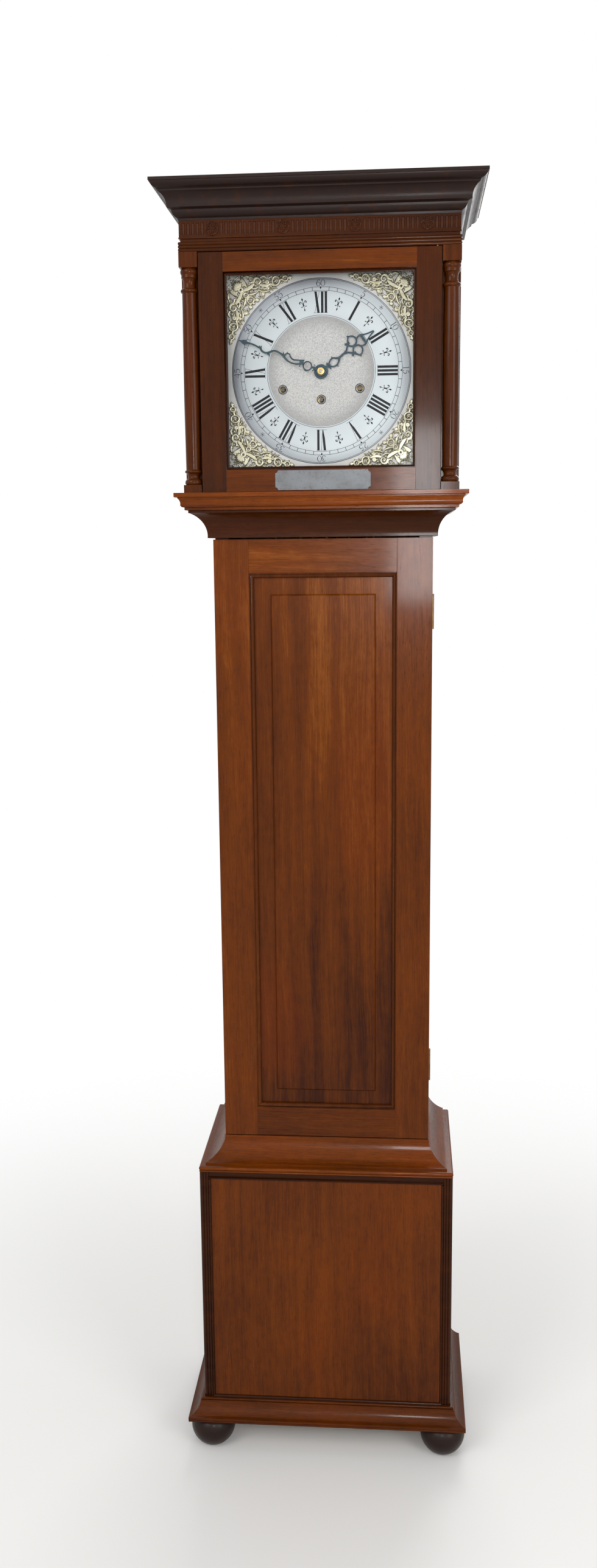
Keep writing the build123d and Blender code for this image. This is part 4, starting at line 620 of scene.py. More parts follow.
def bars(name, lines, at, press=1.0, turns=2, steps=8):
    """Round bars along smooth lines. A line is a list of (u, v, radius), and closed if its last
    point is its first. at(u, v) gives the place, and press flattens the bars front to back."""
    curve = bpy.data.curves.new(name, "CURVE")
    curve.dimensions = "3D"
    curve.bevel_depth = 1.0
    curve.bevel_resolution = turns
    curve.resolution_u = steps
    curve.use_fill_caps = True
    for line in lines:
        closed = line[0] == line[-1] and len(line) > 2
        points = line[:-1] if closed else line
        spline = curve.splines.new("BEZIER")
        spline.bezier_points.add(len(points) - 1)
        spline.use_cyclic_u = closed
        for point, (u, v, radius) in zip(spline.bezier_points, points):
            point.co = at(u, v)
            point.radius = radius * MM
            point.handle_left_type = point.handle_right_type = "AUTO"
    piece = bpy.data.objects.new(name, curve)
    bpy.context.scene.collection.objects.link(piece)
    only(piece)
    bpy.ops.object.convert(target="MESH")
    piece = bpy.context.view_layer.objects.active
    if press != 1.0:
        in_edit(piece, (bpy.ops.transform.resize, {
            "value": (1, press, 1), "center_override": at(0, 0)}))
    return piece


def cast(piece, grain, back, front):
    """Melts overlapping forms into one skin and cuts it flat between two depths."""
    with_modifier(piece, "REMESH", mode="VOXEL", voxel_size=grain)
    for vertex in piece.data.vertices:
        vertex.co.y = min(max(vertex.co.y, front), back)
    return smoothed(piece, 50)


def circle(u, v, radius, thick, sides=8, stretch=1.0):
    """A closed round line, or an oval one that is stretched along v."""
    points = [(u + radius * math.cos(math.tau * i / sides),
               v + radius * stretch * math.sin(math.tau * i / sides), thick) for i in range(sides)]
    return points + points[:1]


def scroll(u, v, start, turn, size, thick, laps=1.25, steps=9):
    """A volute that winds inwards from its outer end to a bead at its eye. turn is 1 or -1."""
    points = []
    for i in range(steps):
        share = i / (steps - 1)
        angle = math.radians(start) + turn * math.tau * laps * share
        reach = size * (1 - 0.82 * share)
        points.append((u + reach * math.cos(angle), v + reach * math.sin(angle),
                       thick * (1 - 0.45 * share)))
    points[-1] = (points[-1][0], points[-1][1], thick * 1.25)
    return points


def leaf(u, v, angle, length, wide, bend=0.0):
    """A tapered leaf that points along an angle in degrees and may bend to one side."""
    a = math.radians(angle)
    points = []
    for share, thick in ((0.0, 0.45), (0.35, 1.0), (0.7, 0.75), (1.0, 0.12)):
        side = bend * share * share
        points.append((u + math.cos(a) * length * share - math.sin(a) * side,
                       v + math.sin(a) * length * share + math.cos(a) * side, wide * thick))
    return points


def front_of(node, low_z, high_z):
    """The foremost y of a CAD node between two heights."""
    return min(v.co.y for v in frame["nodes"][node].data.vertices if low_z < v.co.z < high_z)


def on_dial(depth, turn=0.0):
    """at() for bars on the dial: u runs out along the turned twelve o'clock line, v clockwise."""
    c, s = math.cos(turn), math.sin(turn)
    return lambda u, v: Vector(((u * s + v * c) * MM, depth, DIAL_Z + (u * c - v * s) * MM))


# Woodwork


class CLOCK_OT_case(bpy.types.Operator):
    """Feet, plinth, base, trunk and the boards inside them"""

    bl_idname = "clock.case"
    bl_label = "Case"

    def execute(self, context):
        arris = context.scene.clock_wood.arris
        dressed("bun_feet", ebonised("ebonised_turnery", "x"), arris / 2, smooth=40)
        for node, run, tone, figure, shift in (
                ("plinth_moulding", "mitre", 0.68, 0.45, 0.70),
                ("base_front_panel", "z", 0.86, 0.35, 0.30),
                ("base_side_panels", "z", 0.72, 0.5, 1.70),
                ("base_reeded_trim", "mitre", 0.26, 0.4, 0.90),
                ("base_cove_moulding", "mitre", 0.92, 0.45, 2.20),
                ("trunk_carcase", "z", 0.60, 0.6, 3.10),
                ("throat_moulding", "mitre", 0.25, 0.5, 4.40)):
            # fade=0.12 paints shade that darkens each part towards the floor.
            wood = mahogany(f"{node}_wood", run, tone, figure, shift, fade=0.12)
            dressed(node, wood, arris if "moulding" not in node else arris / 2)
        oak = plain_board("oak_upright", "z")
        dressed("backboard", oak, arris)
        dressed("base_floor", plain_board("oak_across", "x"), arris)
        dressed("seatboard", plain_board("oak_seat", "x"), arris)
        return {"FINISHED"}


class CLOCK_OT_trunk_door(bpy.types.Operator):
    """The framed trunk door, its fielded panel and its butt hinges"""

    bl_idname = "clock.trunk_door"
    bl_label = "Trunk door"

    def execute(self, context):
        arris = context.scene.clock_wood.arris
        # The fade column is painted shade that darkens each part downwards.
        for node, run, tone, figure, shift, fade in (
                ("trunk_door_stiles", "z", 0.74, 0.30, 0.40, 0.05),
                ("trunk_door_rails", "x", 0.78, 0.35, 1.30, 0.22),
                ("trunk_door_moulding", "z", 0.48, 0.4, 2.10, 0.0),
                ("trunk_door_panel", "z", 0.70, 0.55, 5.20, 0.44)):
            wood = mahogany(f"{node}_wood", run, tone, figure, shift, 0.20, fade)
            dressed(node, wood, arris)
        brass = metal("hinge_brass", STAINED_BRASS, DARK_BRASS, 0.36)
        for node in ("trunk_hinge_fixed_leaves", "trunk_door_hinge_leaves"):
            dressed(node, brass, arris / 3)
        return {"FINISHED"}


class CLOCK_OT_hood(bpy.types.Operator):
    """The hood with its mouldings, columns, mask and glazed door"""

    bl_idname = "clock.hood"
    bl_label = "Hood"

    def execute(self, context):
        arris = context.scene.clock_wood.arris
        for node, run, tone, figure, shift, slot in (
                ("hood_base_moulding", "mitre", 1.05, 0.5, 0.20, "dark_mahogany"),
                ("hood_carcase", "z", 0.50, 0.6, 1.10, "mahogany"),
                ("hood_frieze", "mitre", 0.32, 0.5, 2.70, "mahogany"),
                ("hood_columns", "z", 0.48, 0.7, 3.30, "mahogany"),
                ("hood_door_stiles", "z", 0.34, 0.45, 4.10, "mahogany"),
                ("hood_door_rails", "x", 0.74, 0.5, 4.90, "mahogany")):
            wide = arris / 4 if node == "hood_frieze" else arris / 2
            dressed(node, mahogany(f"{node}_wood", run, tone, figure, shift, 0.20), wide)
        cornice = ebonised("ebonised_cornice", "mitre", 1.3, 0.36)
        dressed("hood_cornice", cornice, arris / 2)
        dressed("hood_mask", ebonised("mask_stain", "z", 2.1), arris / 2)
        brass = metal("door_brass", BRASS, OLD_BRASS, 0.30)
        # Very dark mahogany: the bead's own dark wood together with painted shade along the sight.
        bead = mahogany("sight_bead_wood", "z", 0.22, 0.4, 6.6)
        dressed("hood_door_sight_bead", bead, arris / 4)
        dressed("hood_door_pivots", brass, arris / 4)
        dressed("hood_door_glass", window_glass("pane_glass"), arris / 4)
        return {"FINISHED"}


class CLOCK_OT_rosettes(bpy.types.Operator):
    """Six petals and a bead carved in each roundel of the frieze"""

    bl_idname = "clock.rosettes"
    bl_label = "Frieze rosettes"
    BOARD = 20.5 * MM
    SPACING = 92 * MM
    RISE = 0.9 * MM

    def execute(self, context):
        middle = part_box("hood_cornice")[0].z - self.BOARD / 2
        face = front_of("hood_frieze", middle - self.BOARD / 4, middle + self.BOARD / 4)
        wood = mahogany("rosette_wood", "x", 0.34, 0.5, 6.1)
        for number in range(4):
            x = (number - 1.5) * self.SPACING
            here = lambda u, v: Vector((x + u * MM, face, middle + v * MM))
            lines = [circle(0, 0, 8.2, 0.72, 16), circle(0, 0, 1.1, 1.2)]
            for petal in range(6):
                a = math.tau * petal / 6
                c, s = math.cos(a), math.sin(a)
                for side in (-1, 1):
                    shape = ((2.4, 0.0, 0.35), (4.4, side * 1.5, 0.72),
                             (6.4, side * 1.35, 0.72), (7.3, 0.0, 0.45))
                    lines.append([(r * c - t * s, r * s + t * c, thick) for r, t, thick in shape])
                lines.append([(r * c, r * s, 0.34) for r in (2.6, 4.6, 6.6)])
            piece = cast(bars("rosette", lines, here), FINE_GRAIN, face + self.RISE / 3,
                         face - self.RISE * 0.7)
            piece.name = f"frieze_rosette_{number + 1}"
            placed(piece, "hood", wood)
        return {"FINISHED"}


# Dial


NUMERALS = ("XII", "I", "II", "III", "IIII", "V", "VI", "VII", "VIII", "IX", "X", "XI")
LETTER_WIDTH = {"I": 3.1, "V": 6.9, "X": 7.0}
LETTER_GAP = 1.75
THICK, HAIR = 3.1, 0.42
NUMERAL_FEET, NUMERAL_HEADS = 74.6, 101.0
DIGITS = {
    "0": [[(7.8, 0.0, 0.18), (6.6, 1.5, 0.3), (4.0, 2.1, 0.46), (1.3, 1.5, 0.3), (0.1, 0.0, 0.18),
           (1.3, -1.5, 0.3), (4.0, -2.1, 0.46), (6.6, -1.5, 0.3), (7.8, 0.0, 0.18)]],
    "1": [[(0.0, 0.1, 0.42), (4.0, 0.0, 0.42), (7.9, 0.0, 0.42)], [(7.9, 0.0, 0.2), (6.9, -1.2, 0.16)],
          [(0.1, -1.1, 0.16), (0.1, 1.1, 0.16)]],
    "2": [[(6.3, -1.7, 0.5), (7.5, -1.1, 0.2), (7.8, 0.2, 0.22), (6.4, 1.6, 0.46), (3.6, 0.6, 0.3),
           (0.3, -1.9, 0.16)], [(0.3, -1.9, 0.2), (0.5, -0.4, 0.4), (0.1, 1.5, 0.34), (1.4, 2.1, 0.16)]],
    "3": [[(6.6, -1.5, 0.48), (7.8, -0.1, 0.2), (6.3, 1.4, 0.42), (4.4, -0.2, 0.16)],
          [(4.4, -0.2, 0.16), (4.0, 1.4, 0.3), (2.2, 1.9, 0.48), (0.1, 0.0, 0.2), (1.2, -1.7, 0.48)]],
    "4": [[(0.1, 1.0, 0.42), (4.0, 1.0, 0.42), (7.8, 1.0, 0.3)], [(7.8, 1.0, 0.18), (5.0, -0.7, 0.16),
          (2.3, -2.3, 0.16)], [(2.3, -2.3, 0.2), (2.3, 2.2, 0.2)], [(0.1, 0.1, 0.16), (0.1, 1.9, 0.16)]],
    "5": [[(7.7, -0.9, 0.3), (7.5, 0.3, 0.46), (7.9, 1.8, 0.2)], [(7.7, -0.9, 0.16), (4.4, -1.3, 0.16)],
          [(4.4, -1.3, 0.18), (5.0, 0.1, 0.24), (3.9, 1.7, 0.42), (1.8, 1.7, 0.46), (0.1, -0.2, 0.2),
           (1.2, -1.7, 0.5)]],
    "6": [[(7.3, 1.5, 0.46), (7.7, 0.4, 0.2), (5.9, -1.2, 0.34), (3.0, -1.9, 0.48), (0.4, -1.0, 0.28),
           (0.2, 0.6, 0.22), (2.2, 1.9, 0.46), (4.4, 0.9, 0.26), (4.4, -0.4, 0.18), (3.2, -1.6, 0.16)]],
}
DIGIT_STEP = {"1": 4.0}
FLEUR = [
    [(8.8, 0, 0.06), (7.6, 0, 0.55), (6.6, 0, 1.05), (5.6, 0, 0.5), (4.4, 0, 0.12)],
    [(4.4, 0, 0.14), (1.6, 0, 0.34), (0, 0, 0.75), (-2, 0, 0.34), (-4.4, 0, 0.12)],
    [(-4.4, 0, 0.1), (-5.6, 0, 0.35), (-6.6, 0, 0.8), (-7.6, 0, 0.35), (-8.8, 0, 0.05)],
]
for side in (-1, 1):
    FLEUR.append([(0.2, 0, 0.4), (1.6, side * 1.0, 0.22), (3.7, side * 2.3, 0.3), (4.3, side * 3.7, 0.42),
                  (3.1, side * 4.5, 0.5), (1.9, side * 3.8, 0.62)])
    FLEUR.append([(0, 0, 0.3), (-1.6, side * 1.2, 0.2), (-2.7, side * 2.6, 0.3), (-2.1, side * 3.4, 0.58)])
ASTERISK = [[(r * math.cos(a), r * math.sin(a), thick)
             for r, thick in ((0, 0.2), (1.5, 0.26), (2.7, 0.42))]
            for a in (math.radians(22.5 + 60 * i) for i in range(6))]


def quad(u0, v0, u1, v1, wide0, wide1, at):
    """A flat bar on the dial, from (u0, v0) to (u1, v1), whose ends lie across u."""
    bpy.ops.object.select_all(action="DESELECT")
    bpy.ops.mesh.primitive_plane_add(size=1)
    piece = bpy.context.view_layer.objects.active
    corners = ((u0, v0 - wide0 / 2), (u0, v0 + wide0 / 2), (u1, v1 - wide1 / 2), (u1, v1 + wide1 / 2))
    for vertex, (u, v) in zip(piece.data.vertices, corners):
        vertex.co = at(u, v)
    return piece


def numeral_bars(text, at):
    """The strokes of one Roman numeral, with its feet towards the centre."""
    low, high = NUMERAL_FEET, NUMERAL_HEADS
    total = sum(LETTER_WIDTH[c] for c in text) + LETTER_GAP * (len(text) - 1)
    v = -total / 2
    pieces = []
    for letter in text:
        wide = LETTER_WIDTH[letter]
        mid = v + wide / 2
        if letter == "I":
            strokes = [(low, mid, high, mid, THICK)]
        elif letter == "V":
            knee = low + 0.4 * (high - low)
            strokes = [(low, mid + 0.7, knee, mid - 0.4, 0.9, THICK),
                       (knee, mid - 0.4, high, mid - 1.9, THICK),
                       (low, mid + 1.0, high, mid + 3.0, HAIR)]
        else:
            strokes = [(low, mid + 1.9, high, mid - 1.9, THICK), (low, mid - 3.1, high, mid + 3.1, HAIR)]
        pieces += [quad(u0, v0, u1, v1, w[0], w[-1], at) for u0, v0, u1, v1, *w in strokes]
        v += wide + LETTER_GAP
    for end in (low, high):
        side = 0.3 if end == high else -0.3
        pieces.append(quad(end - side * 0.2, 0, end + side, 0, total + 2.2, total + 2.2, at))
    return pieces


def ring_on_dial(name, inner, outer, back, rise, sides=160):
    """A flat ring with eased edges that stands off the dial."""
    bpy.ops.object.select_all(action="DESELECT")
    circles = []
    for radius in (inner, outer):
        bpy.ops.mesh.primitive_circle_add(vertices=sides, radius=radius, location=(0, back, DIAL_Z),
                                          rotation=(math.pi / 2, 0, 0))
        circles.append(settled(bpy.context.view_layer.objects.active))
    piece = joined(name, *circles)
    in_edit(piece, (bpy.ops.mesh.bridge_edge_loops, {}),
            (bpy.ops.mesh.extrude_region_move, {"TRANSFORM_OT_translate": {"value": (0, -rise, 0)}}),
            (bpy.ops.mesh.select_all, {"action": "SELECT"}),
            (bpy.ops.mesh.normals_make_consistent, {"inside": False}))
    arrised(piece, rise * 0.4, angle=50)
    return smoothed(piece, 30)


class CLOCK_OT_dial(bpy.types.Operator):
    """The silvered plate, its chapter ring, numerals, marks and winding holes"""

    bl_idname = "clock.dial"
    bl_label = "Dial"
    SEAT = 0.2 * MM
    CUT = 0.07 * MM
    COLLAR_RADIUS, COLLAR_THICK = 5.4, 0.7
    COLLAR_SUNK = 0.4 * MM

    def execute(self, context):
        dial = context.scene.clock_dial
        silver = dial_silver("dial_silvering")
        dressed("dial_plate", silver, 0.2 * MM)
        ring = ring_on_dial("chapter_ring", dial.ring_inner, dial.ring_outer, DIAL_Y + self.SEAT,
                            dial.ring_rise + self.SEAT)
        placed(ring, "case", silver)
        face = DIAL_Y - dial.ring_rise
        black = wax("engraving_wax")
        self.engrave(face, black)
        self.lines(face, black)
        self.collars()
        return {"FINISHED"}

    def engrave(self, face, black):
        pieces = []
        for hour, text in enumerate(NUMERALS):
            pieces += numeral_bars(text, on_dial(face, math.tau * hour / 12))
        for minute in range(60):
            at = on_dial(face, math.tau * minute / 60)
            if minute % 5:
                pieces.append(quad(102.6, 0, 106.9, 0, 0.62, 0.62, at))
            else:
                pieces.append(quad(104.0, 0, 107.0, 0, 0.3, 2.8, at))
        piece = joined("numerals_and_minutes", *pieces)
        in_edit(piece, (bpy.ops.mesh.extrude_region_move, {
            "TRANSFORM_OT_translate": {"value": (0, -self.CUT, 0)}}),
            (bpy.ops.mesh.select_all, {"action": "SELECT"}),
            (bpy.ops.mesh.normals_make_consistent, {"inside": False}))
        placed(piece, "case", black)

    def lines(self, face, black):
        flat = on_dial(face)
        rings = [circle(0, 0, r, thick, 24) for r, thick in (
            (71.6, 0.27), (102.4, 0.26), (106.9, 0.26), (116.7, 0.24), (118.1, 0.34))]
        piece = smoothed(bars("engraved_rings", rings, flat, 0.35, turns=1, steps=10), ROUND)
        placed(piece, "case", black)
        marks = []
        for half in range(12):
            turn = math.tau * (half + 0.5) / 12
            marks += self.turned([[(u, v, 1.4 * t) for u, v, t in line] for line in FLEUR], 87.8, turn)
        for eighth in (1, 3, 5, 7):
            marks += self.turned(ASTERISK, 112.0, math.tau * eighth / 8)
        for five in range(12):
            text = str(five * 5 or 60)
            steps = [DIGIT_STEP.get(c, 6.0) for c in text]
            v = -sum(steps) / 2
            for letter, step in zip(text, steps):
                lines = [[(u + 107.9, w * 1.2 + v + step / 2, t * 1.1) for u, w, t in line]
                         for line in DIGITS[letter]]
                marks += self.turned(lines, 0, math.tau * five / 12)
                v += step
        piece = smoothed(bars("engraved_marks", marks, flat, 0.22, turns=1, steps=5), ROUND)
        placed(piece, "case", black)

    def turned(self, lines, reach, turn):
        c, s = math.cos(turn), math.sin(turn)
        return [[((u + reach) * c - v * s, (u + reach) * s + v * c, t) for u, v, t in line]
                for line in lines]

    def collars(self):
        # Near-black steel: the collars' own dark metal together with painted shade in the winding holes.
        steel = metal("collar_steel", (0.045, 0.042, 0.04), (0.02, 0.018, 0.016), 0.3, metallic=0.5)
        pieces = []
        for train in TRAINS:
            low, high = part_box(f"{train}_drum")
            x, z = (low.x + high.x) / 2 / MM, ((low.z + high.z) / 2 - DIAL_Z) / MM
            pieces.append(circle(z, x, self.COLLAR_RADIUS, self.COLLAR_THICK, 16))
        at = on_dial(dial_low.y + self.COLLAR_SUNK)
        piece = smoothed(bars("winding_hole_collars", pieces, at, 0.8, turns=3), ROUND)
        placed(piece, "case", steel)


class CLOCK_OT_spandrels(bpy.types.Operator):
    """Pierced and cast foliage in the four corners of the dial"""

    bl_idname = "clock.spandrels"
    bl_label = "Spandrels"
    REACH = 123.5
    BODY = 1.18
    RING_EDGE = 122.5
    LENGTH = 79
    MIDDLE, SUNK, PROUD = 0.5 * MM, 0.05 * MM, 2.85 * MM

    def execute(self, context):
        settings = context.scene.clock_castings
        gilt = cast_gilt("cast_silvered_brass")
        arm = self.arm()
        lines = [[(u, v, self.BODY * t) for u, v, t in line]
                 for line in arm + [[(v, u, t) for u, v, t in line] for line in arm] + self.heart()]
        lines += self.tendrils()
        for number, (side, level) in enumerate(((-1, 1), (1, 1), (1, -1), (-1, -1))):
            at = lambda u, v: Vector((side * (self.REACH - u) * MM, DIAL_Y - self.MIDDLE,
                                      DIAL_Z + level * (self.REACH - v) * MM))
            piece = bars("spandrel", lines, at, 1.35)
            in_edit(piece, (bpy.ops.mesh.normals_make_consistent, {"inside": False}))
            piece = cast(piece, settings.grain, DIAL_Y + self.SUNK, DIAL_Y - self.PROUD)
            piece.name = f"spandrel_{number + 1}"
            placed(piece, "case", gilt, ["dial_spandrels"])
        return {"FINISHED"}

    def tendrils(self):
        """Small low curls that fill the ground between the main forms, out to the chapter ring."""
        chance = random.Random(7)
        curls = []
        for row in range(20):
            for column in range(row + 1):
                u, v = ((n + 0.5) * 4.0 + chance.uniform(-1.2, 1.2) for n in (column, row))
                angle, bend = chance.uniform(0, 360), chance.choice((-1.6, 1.6))
                if math.hypot(self.REACH - u, self.REACH - v) < self.RING_EDGE or v > self.LENGTH:
                    continue
                curl = leaf(u, v, angle, 4.6, 1.05, bend)
                curls += [curl, [(b, a, t) for a, b, t in curl]]
        return curls

    def heart(self):
        """The shell, the small rings and the loop on the corner's diagonal, in mm from both edges."""
        lines = [circle(18.2, 18.2, 2.6, 1.7), circle(25.3, 25.3, 2.7, 1.35), circle(31.2, 31.2, 4.3, 1.2, 10),
                 [(20.5, 20.5, 1.6), (23.0, 23.0, 1.3)], leaf(5.6, 5.6, 225, 4.6, 1.3),
                 [(33.6, 35.0, 1.1), (35.8, 35.8, 1.5), (35.0, 33.6, 1.1)]]
        for turn in (-58, -38, -19, 0, 19, 38, 58):
            lines.append(leaf(16.6, 16.6, 225 + turn, 12.2 - abs(turn) / 30, 2.0))
        return lines

    def arm(self):
        """One arm of foliage along an edge: u runs in from the side edge, v along it."""
        lines = [
            [(14.8, 26.2, 1.5), (8.2, 21.8, 2.3), (1.5, 18.2, 0.9)], [(5.4, 11.6, 1.2),
            (2.6, 13.6, 1.0), (1.4, 16.0, 0.7)],
            scroll(5.4, 31.6, 330, 1, 4.5, 1.7, 1.0), scroll(8.5, 40.6, 280, -1, 5.7, 1.9, 1.2),
            [(19.6, 22.0, 1.7), (17.2, 28.0, 2.3), (13.6, 33.4, 2.1), (10.8, 36.0, 1.6)],
            [(12.4, 43.6, 1.7), (13.6, 49.0, 2.1), (13.2, 54.0, 1.8), (11.0, 58.6, 1.5)],
            circle(9.0, 53.4, 1.5, 1.75), circle(16.6, 54.2, 1.2, 1.5), circle(24.0, 47.8, 1.0, 1.6),
            [(18.6, 41.6, 1.1), (20.6, 46.6, 1.5), (20.8, 52.0, 1.5), (19.2, 57.4, 0.8)],
            [(24.6, 29.6, 1.2), (23.8, 34.8, 1.7), (20.6, 40.6, 1.1), (17.8, 42.4, 1.0)],
            [(21.2, 45.6, 1.0), (23.8, 44.2, 1.1), (26.2, 46.0, 1.1), (25.8, 49.4, 1.2)],
            [(26.8, 31.2, 1.2), (29.6, 35.8, 1.4), (32.6, 37.6, 1.2)], circle(31.2, 40.0, 1.1, 1.6),
            [(16.4, 33.0, 1.3), (17.0, 37.6, 1.6), (14.6, 41.6, 1.3)], [(14.2, 46.6, 1.2),
            (17.4, 48.8, 1.4), (17.2, 52.2, 1.2)],
            circle(7.8, 64.8, 5.4, 1.45, 12, 0.86), [(5.0, 62.6, 1.0), (7.8, 64.4, 1.4), (9.2, 62.0, 0.8)],
            [(11.8, 58.6, 1.4), (13.6, 61.6, 1.2), (14.6, 65.2, 0.7)], [(7.2, 69.6, 1.5), (5.9, 73.0, 1.8)],
            circle(5.1, 77.2, 3.2, 1.4), [(4.8, 80.6, 1.5), (4.0, 83.6, 2.0), (3.2, 87.0, 0.9)],
            [(4.0, 82.6, 1.2), (7.0, 84.2, 1.3)], [(4.0, 82.6, 1.2), (1.2, 83.6, 1.2)],
            [(3.4, 44.6, 1.3), (1.7, 48.6, 1.6), (3.8, 52.6, 1.3)], [(4.4, 55.4, 1.4), (2.4, 58.8, 1.3),
            (2.8, 62.0, 0.9)],
            [(2.6, 22.0, 1.0), (1.6, 26.4, 1.4), (2.4, 30.4, 1.1)],
        ]
        for u, v, angle, length, wide, bend in (
                (8.6, 16.8, 128, 7.0, 1.8, -1.0), (10.6, 18.4, 100, 7.6, 1.9, 0.0),
                (12.6, 18.6, 78, 6.6, 1.7, 1.0),
                (12.2, 36.0, 60, 5.6, 1.4, 1.0), (4.6, 38.0, 130, 4.6, 1.4, 1.0),
                (10.4, 47.6, 120, 5.0, 1.5, 0.8),
                (6.0, 46.6, 80, 4.6, 1.5, -0.6), (21.8, 36.6, 20, 3.6, 1.2, 0.6),
                (16.0, 58.4, 70, 4.4, 1.2, 0.6),
                (9.4, 70.6, 60, 4.4, 1.2, 0.8), (3.4, 70.0, 120, 3.6, 1.1, -0.4),
                (22.0, 22.6, 80, 5.0, 1.5, -0.8),
                (13.4, 28.6, 150, 5.4, 1.3, 0.8), (19.4, 30.0, 60, 5.0, 1.2, -0.6),
                (9.6, 28.4, 80, 5.0, 1.3, 0.8),
                (15.4, 44.4, 30, 4.4, 1.1, 0.6), (6.2, 50.2, 60, 4.0, 1.2, 0.5),
                (2.2, 36.6, 90, 5.0, 1.2, 0.4),
                (13.2, 56.4, 60, 4.6, 1.2, -0.6), (22.4, 42.6, 60, 4.4, 1.1, 0.8),
                (27.2, 28.0, 60, 4.6, 1.2, 0.6),
                (2.6, 65.6, 90, 4.4, 1.1, -0.3), (8.6, 75.4, 100, 4.0, 0.9, 0.6),
                (1.6, 74.6, 90, 4.6, 0.9, -0.3)):
            lines.append(leaf(u, v, angle, length, wide, bend))
        return lines


# Hands


MINUTE_LINES = [
    circle(0, 0, 4.6, 1.9, 10),
    circle(19.2, 0.4, 5.5, 0.85, 10),
    [(6.0, 0.5, 1.6), (10.0, 0.8, 1.7), (13.5, 1.0, 1.2)],
    [(9.5, -1.2, 0.5), (11.6, -3.6, 0.35)], [(9.4, 3.4, 0.5), (11.0, 5.4, 0.35)],
    [(17.0, -4.8, 0.9), (19.5, -5.8, 1.0), (22.5, -4.4, 0.8)],
    [(24.5, 0.6, 1.3), (27.8, 1.7, 2.6), (30.6, 1.0, 1.9)],
    [(27.0, 3.4, 1.2), (25.4, 6.2, 0.5)], [(29.0, -0.6, 1.0), (28.6, -4.2, 0.4)],
    [(30.6, -0.6, 1.0), (33.6, -3.2, 0.35)],
    [(26.0, 5.6, 0.7), (33.0, 3.4, 0.85), (40.9, 2.0, 0.9), (44.3, 3.9, 0.95), (46.4, 6.4, 0.9),
     (49.3, 6.6, 0.9), (51.5, 4.5, 1.0), (51.9, 1.9, 0.95)],
    [(28.2, 0.2, 1.2), (33.0, -1.7, 1.1), (38.2, -2.8, 1.0), (43.9, -2.6, 1.05), (49.1, -0.9, 1.25),
     (53.8, 2.2, 1.7), (58.1, 3.6, 1.3), (63.1, 4.4, 1.1), (68.1, 3.7, 1.15), (73.0, -0.2, 1.5),
     (76.3, -1.9, 1.2), (80.6, -2.1, 1.2), (83.8, -0.6, 1.35), (85.6, 1.4, 1.5), (88.6, 1.5, 1.1),
     (93.0, 2.2, 1.1), (98.5, 2.4, 1.05), (104.0, 2.0, 1.2)],
    [(53.4, 3.0, 1.0), (55.3, 7.0, 0.4)], [(50.4, 6.0, 0.8), (49.8, 8.6, 0.35)],
    [(73.0, -1.0, 1.1), (70.9, -5.2, 0.35)], [(74.4, -1.8, 0.9), (73.7, -4.0, 0.35)],
    [(85.4, 1.8, 1.1), (84.7, 4.6, 0.4)], [(86.4, 2.0, 1.0), (88.0, 4.0, 0.35)],
    [(103.4, 2.0, 1.2), (107.6, 1.8, 2.2), (111.4, 1.5, 1.3), (116.3, 1.0, 0.22)],
    [(111.0, 2.4, 1.0), (108.0, 3.8, 0.8), (105.4, 5.0, 0.3)],
    [(111.4, 0.4, 1.0), (108.2, -0.9, 0.8), (105.8, -2.1, 0.3)],
]
HOUR_LINES = [
    circle(0, 0, 7.9, 1.5, 12),
    [(8.6, -0.4, 1.4), (12.4, -0.7, 2.1), (15.0, 0.2, 1.0)],
    [(11.8, -2.0, 1.0), (12.8, -4.7, 0.75)], [(12.0, 1.2, 1.0), (12.5, 5.4, 0.75)],
    [(12.6, -1.0, 1.1), (17.5, -4.0, 1.0), (21.9, -4.9, 1.0), (25.9, -2.0, 1.15), (30.0, 0.2, 1.3)],
    [(12.4, 0.4, 1.1), (16.8, 4.4, 1.0), (21.3, 5.6, 1.0), (25.6, 4.0, 1.15), (29.4, 1.0, 1.3)],
    [(21.4, -4.6, 0.9), (22.5, -7.2, 0.35)], [(21.4, 5.4, 0.9), (22.6, 8.4, 0.35)],
    [(28.6, 0.4, 1.5), (34.2, -0.2, 1.35), (38.8, -0.3, 1.6)],
    [(38.6, -0.6, 1.3), (42.6, -1.8, 1.15), (45.7, -4.3, 1.1), (48.3, -6.6, 1.4)],
    [(38.6, 0.4, 1.3), (42.0, 1.4, 1.15), (45.5, 4.2, 1.1), (48.5, 6.8, 1.4)],
    [(48.0, -5.4, 1.0), (51.0, -1.8, 1.05), (54.2, 0.0, 1.2)],
    [(48.2, 6.0, 1.0), (50.6, 2.6, 1.05), (53.2, 0.4, 1.2)],
]
for side in (-1, 1):
    HOUR_LINES += [
        [(48.6, side * 6.6, 1.3), (51.2, side * 10.8, 1.0), (54.2, side * 13.6, 0.85),
        (58.4, side * 12.2, 0.95),
         (60.9, side * 8.6, 1.0), (60.6, side * 4.4, 1.05), (57.2, side * 1.2, 1.15),
         (53.4, side * 0.6, 1.2)],
        [(48.6, side * 6.8, 1.6), (50.6, side * 7.6, 1.7), (51.6, side * 7.6, 1.35)],
        [(47.6, side * 7.6, 1.2), (44.9, side * 9.0, 1.55)],
        [(53.6, side * 13.6, 0.7), (54.2, side * 16.0, 1.05)],
        [(60.6, side * 4.4, 0.9), (63.9, side * 6.5, 0.95), (68.2, side * 6.6, 1.05), (71.8, side * 4.6, 0.9),
         (77.2, side * 2.4, 0.85), (82.5, side * 1.0, 0.85), (85.6, side * 0.2, 1.0)],
        [(68.2, side * 6.4, 1.2), (69.0, side * 3.4, 1.5), (68.8, 0.0, 1.8)],
    ]


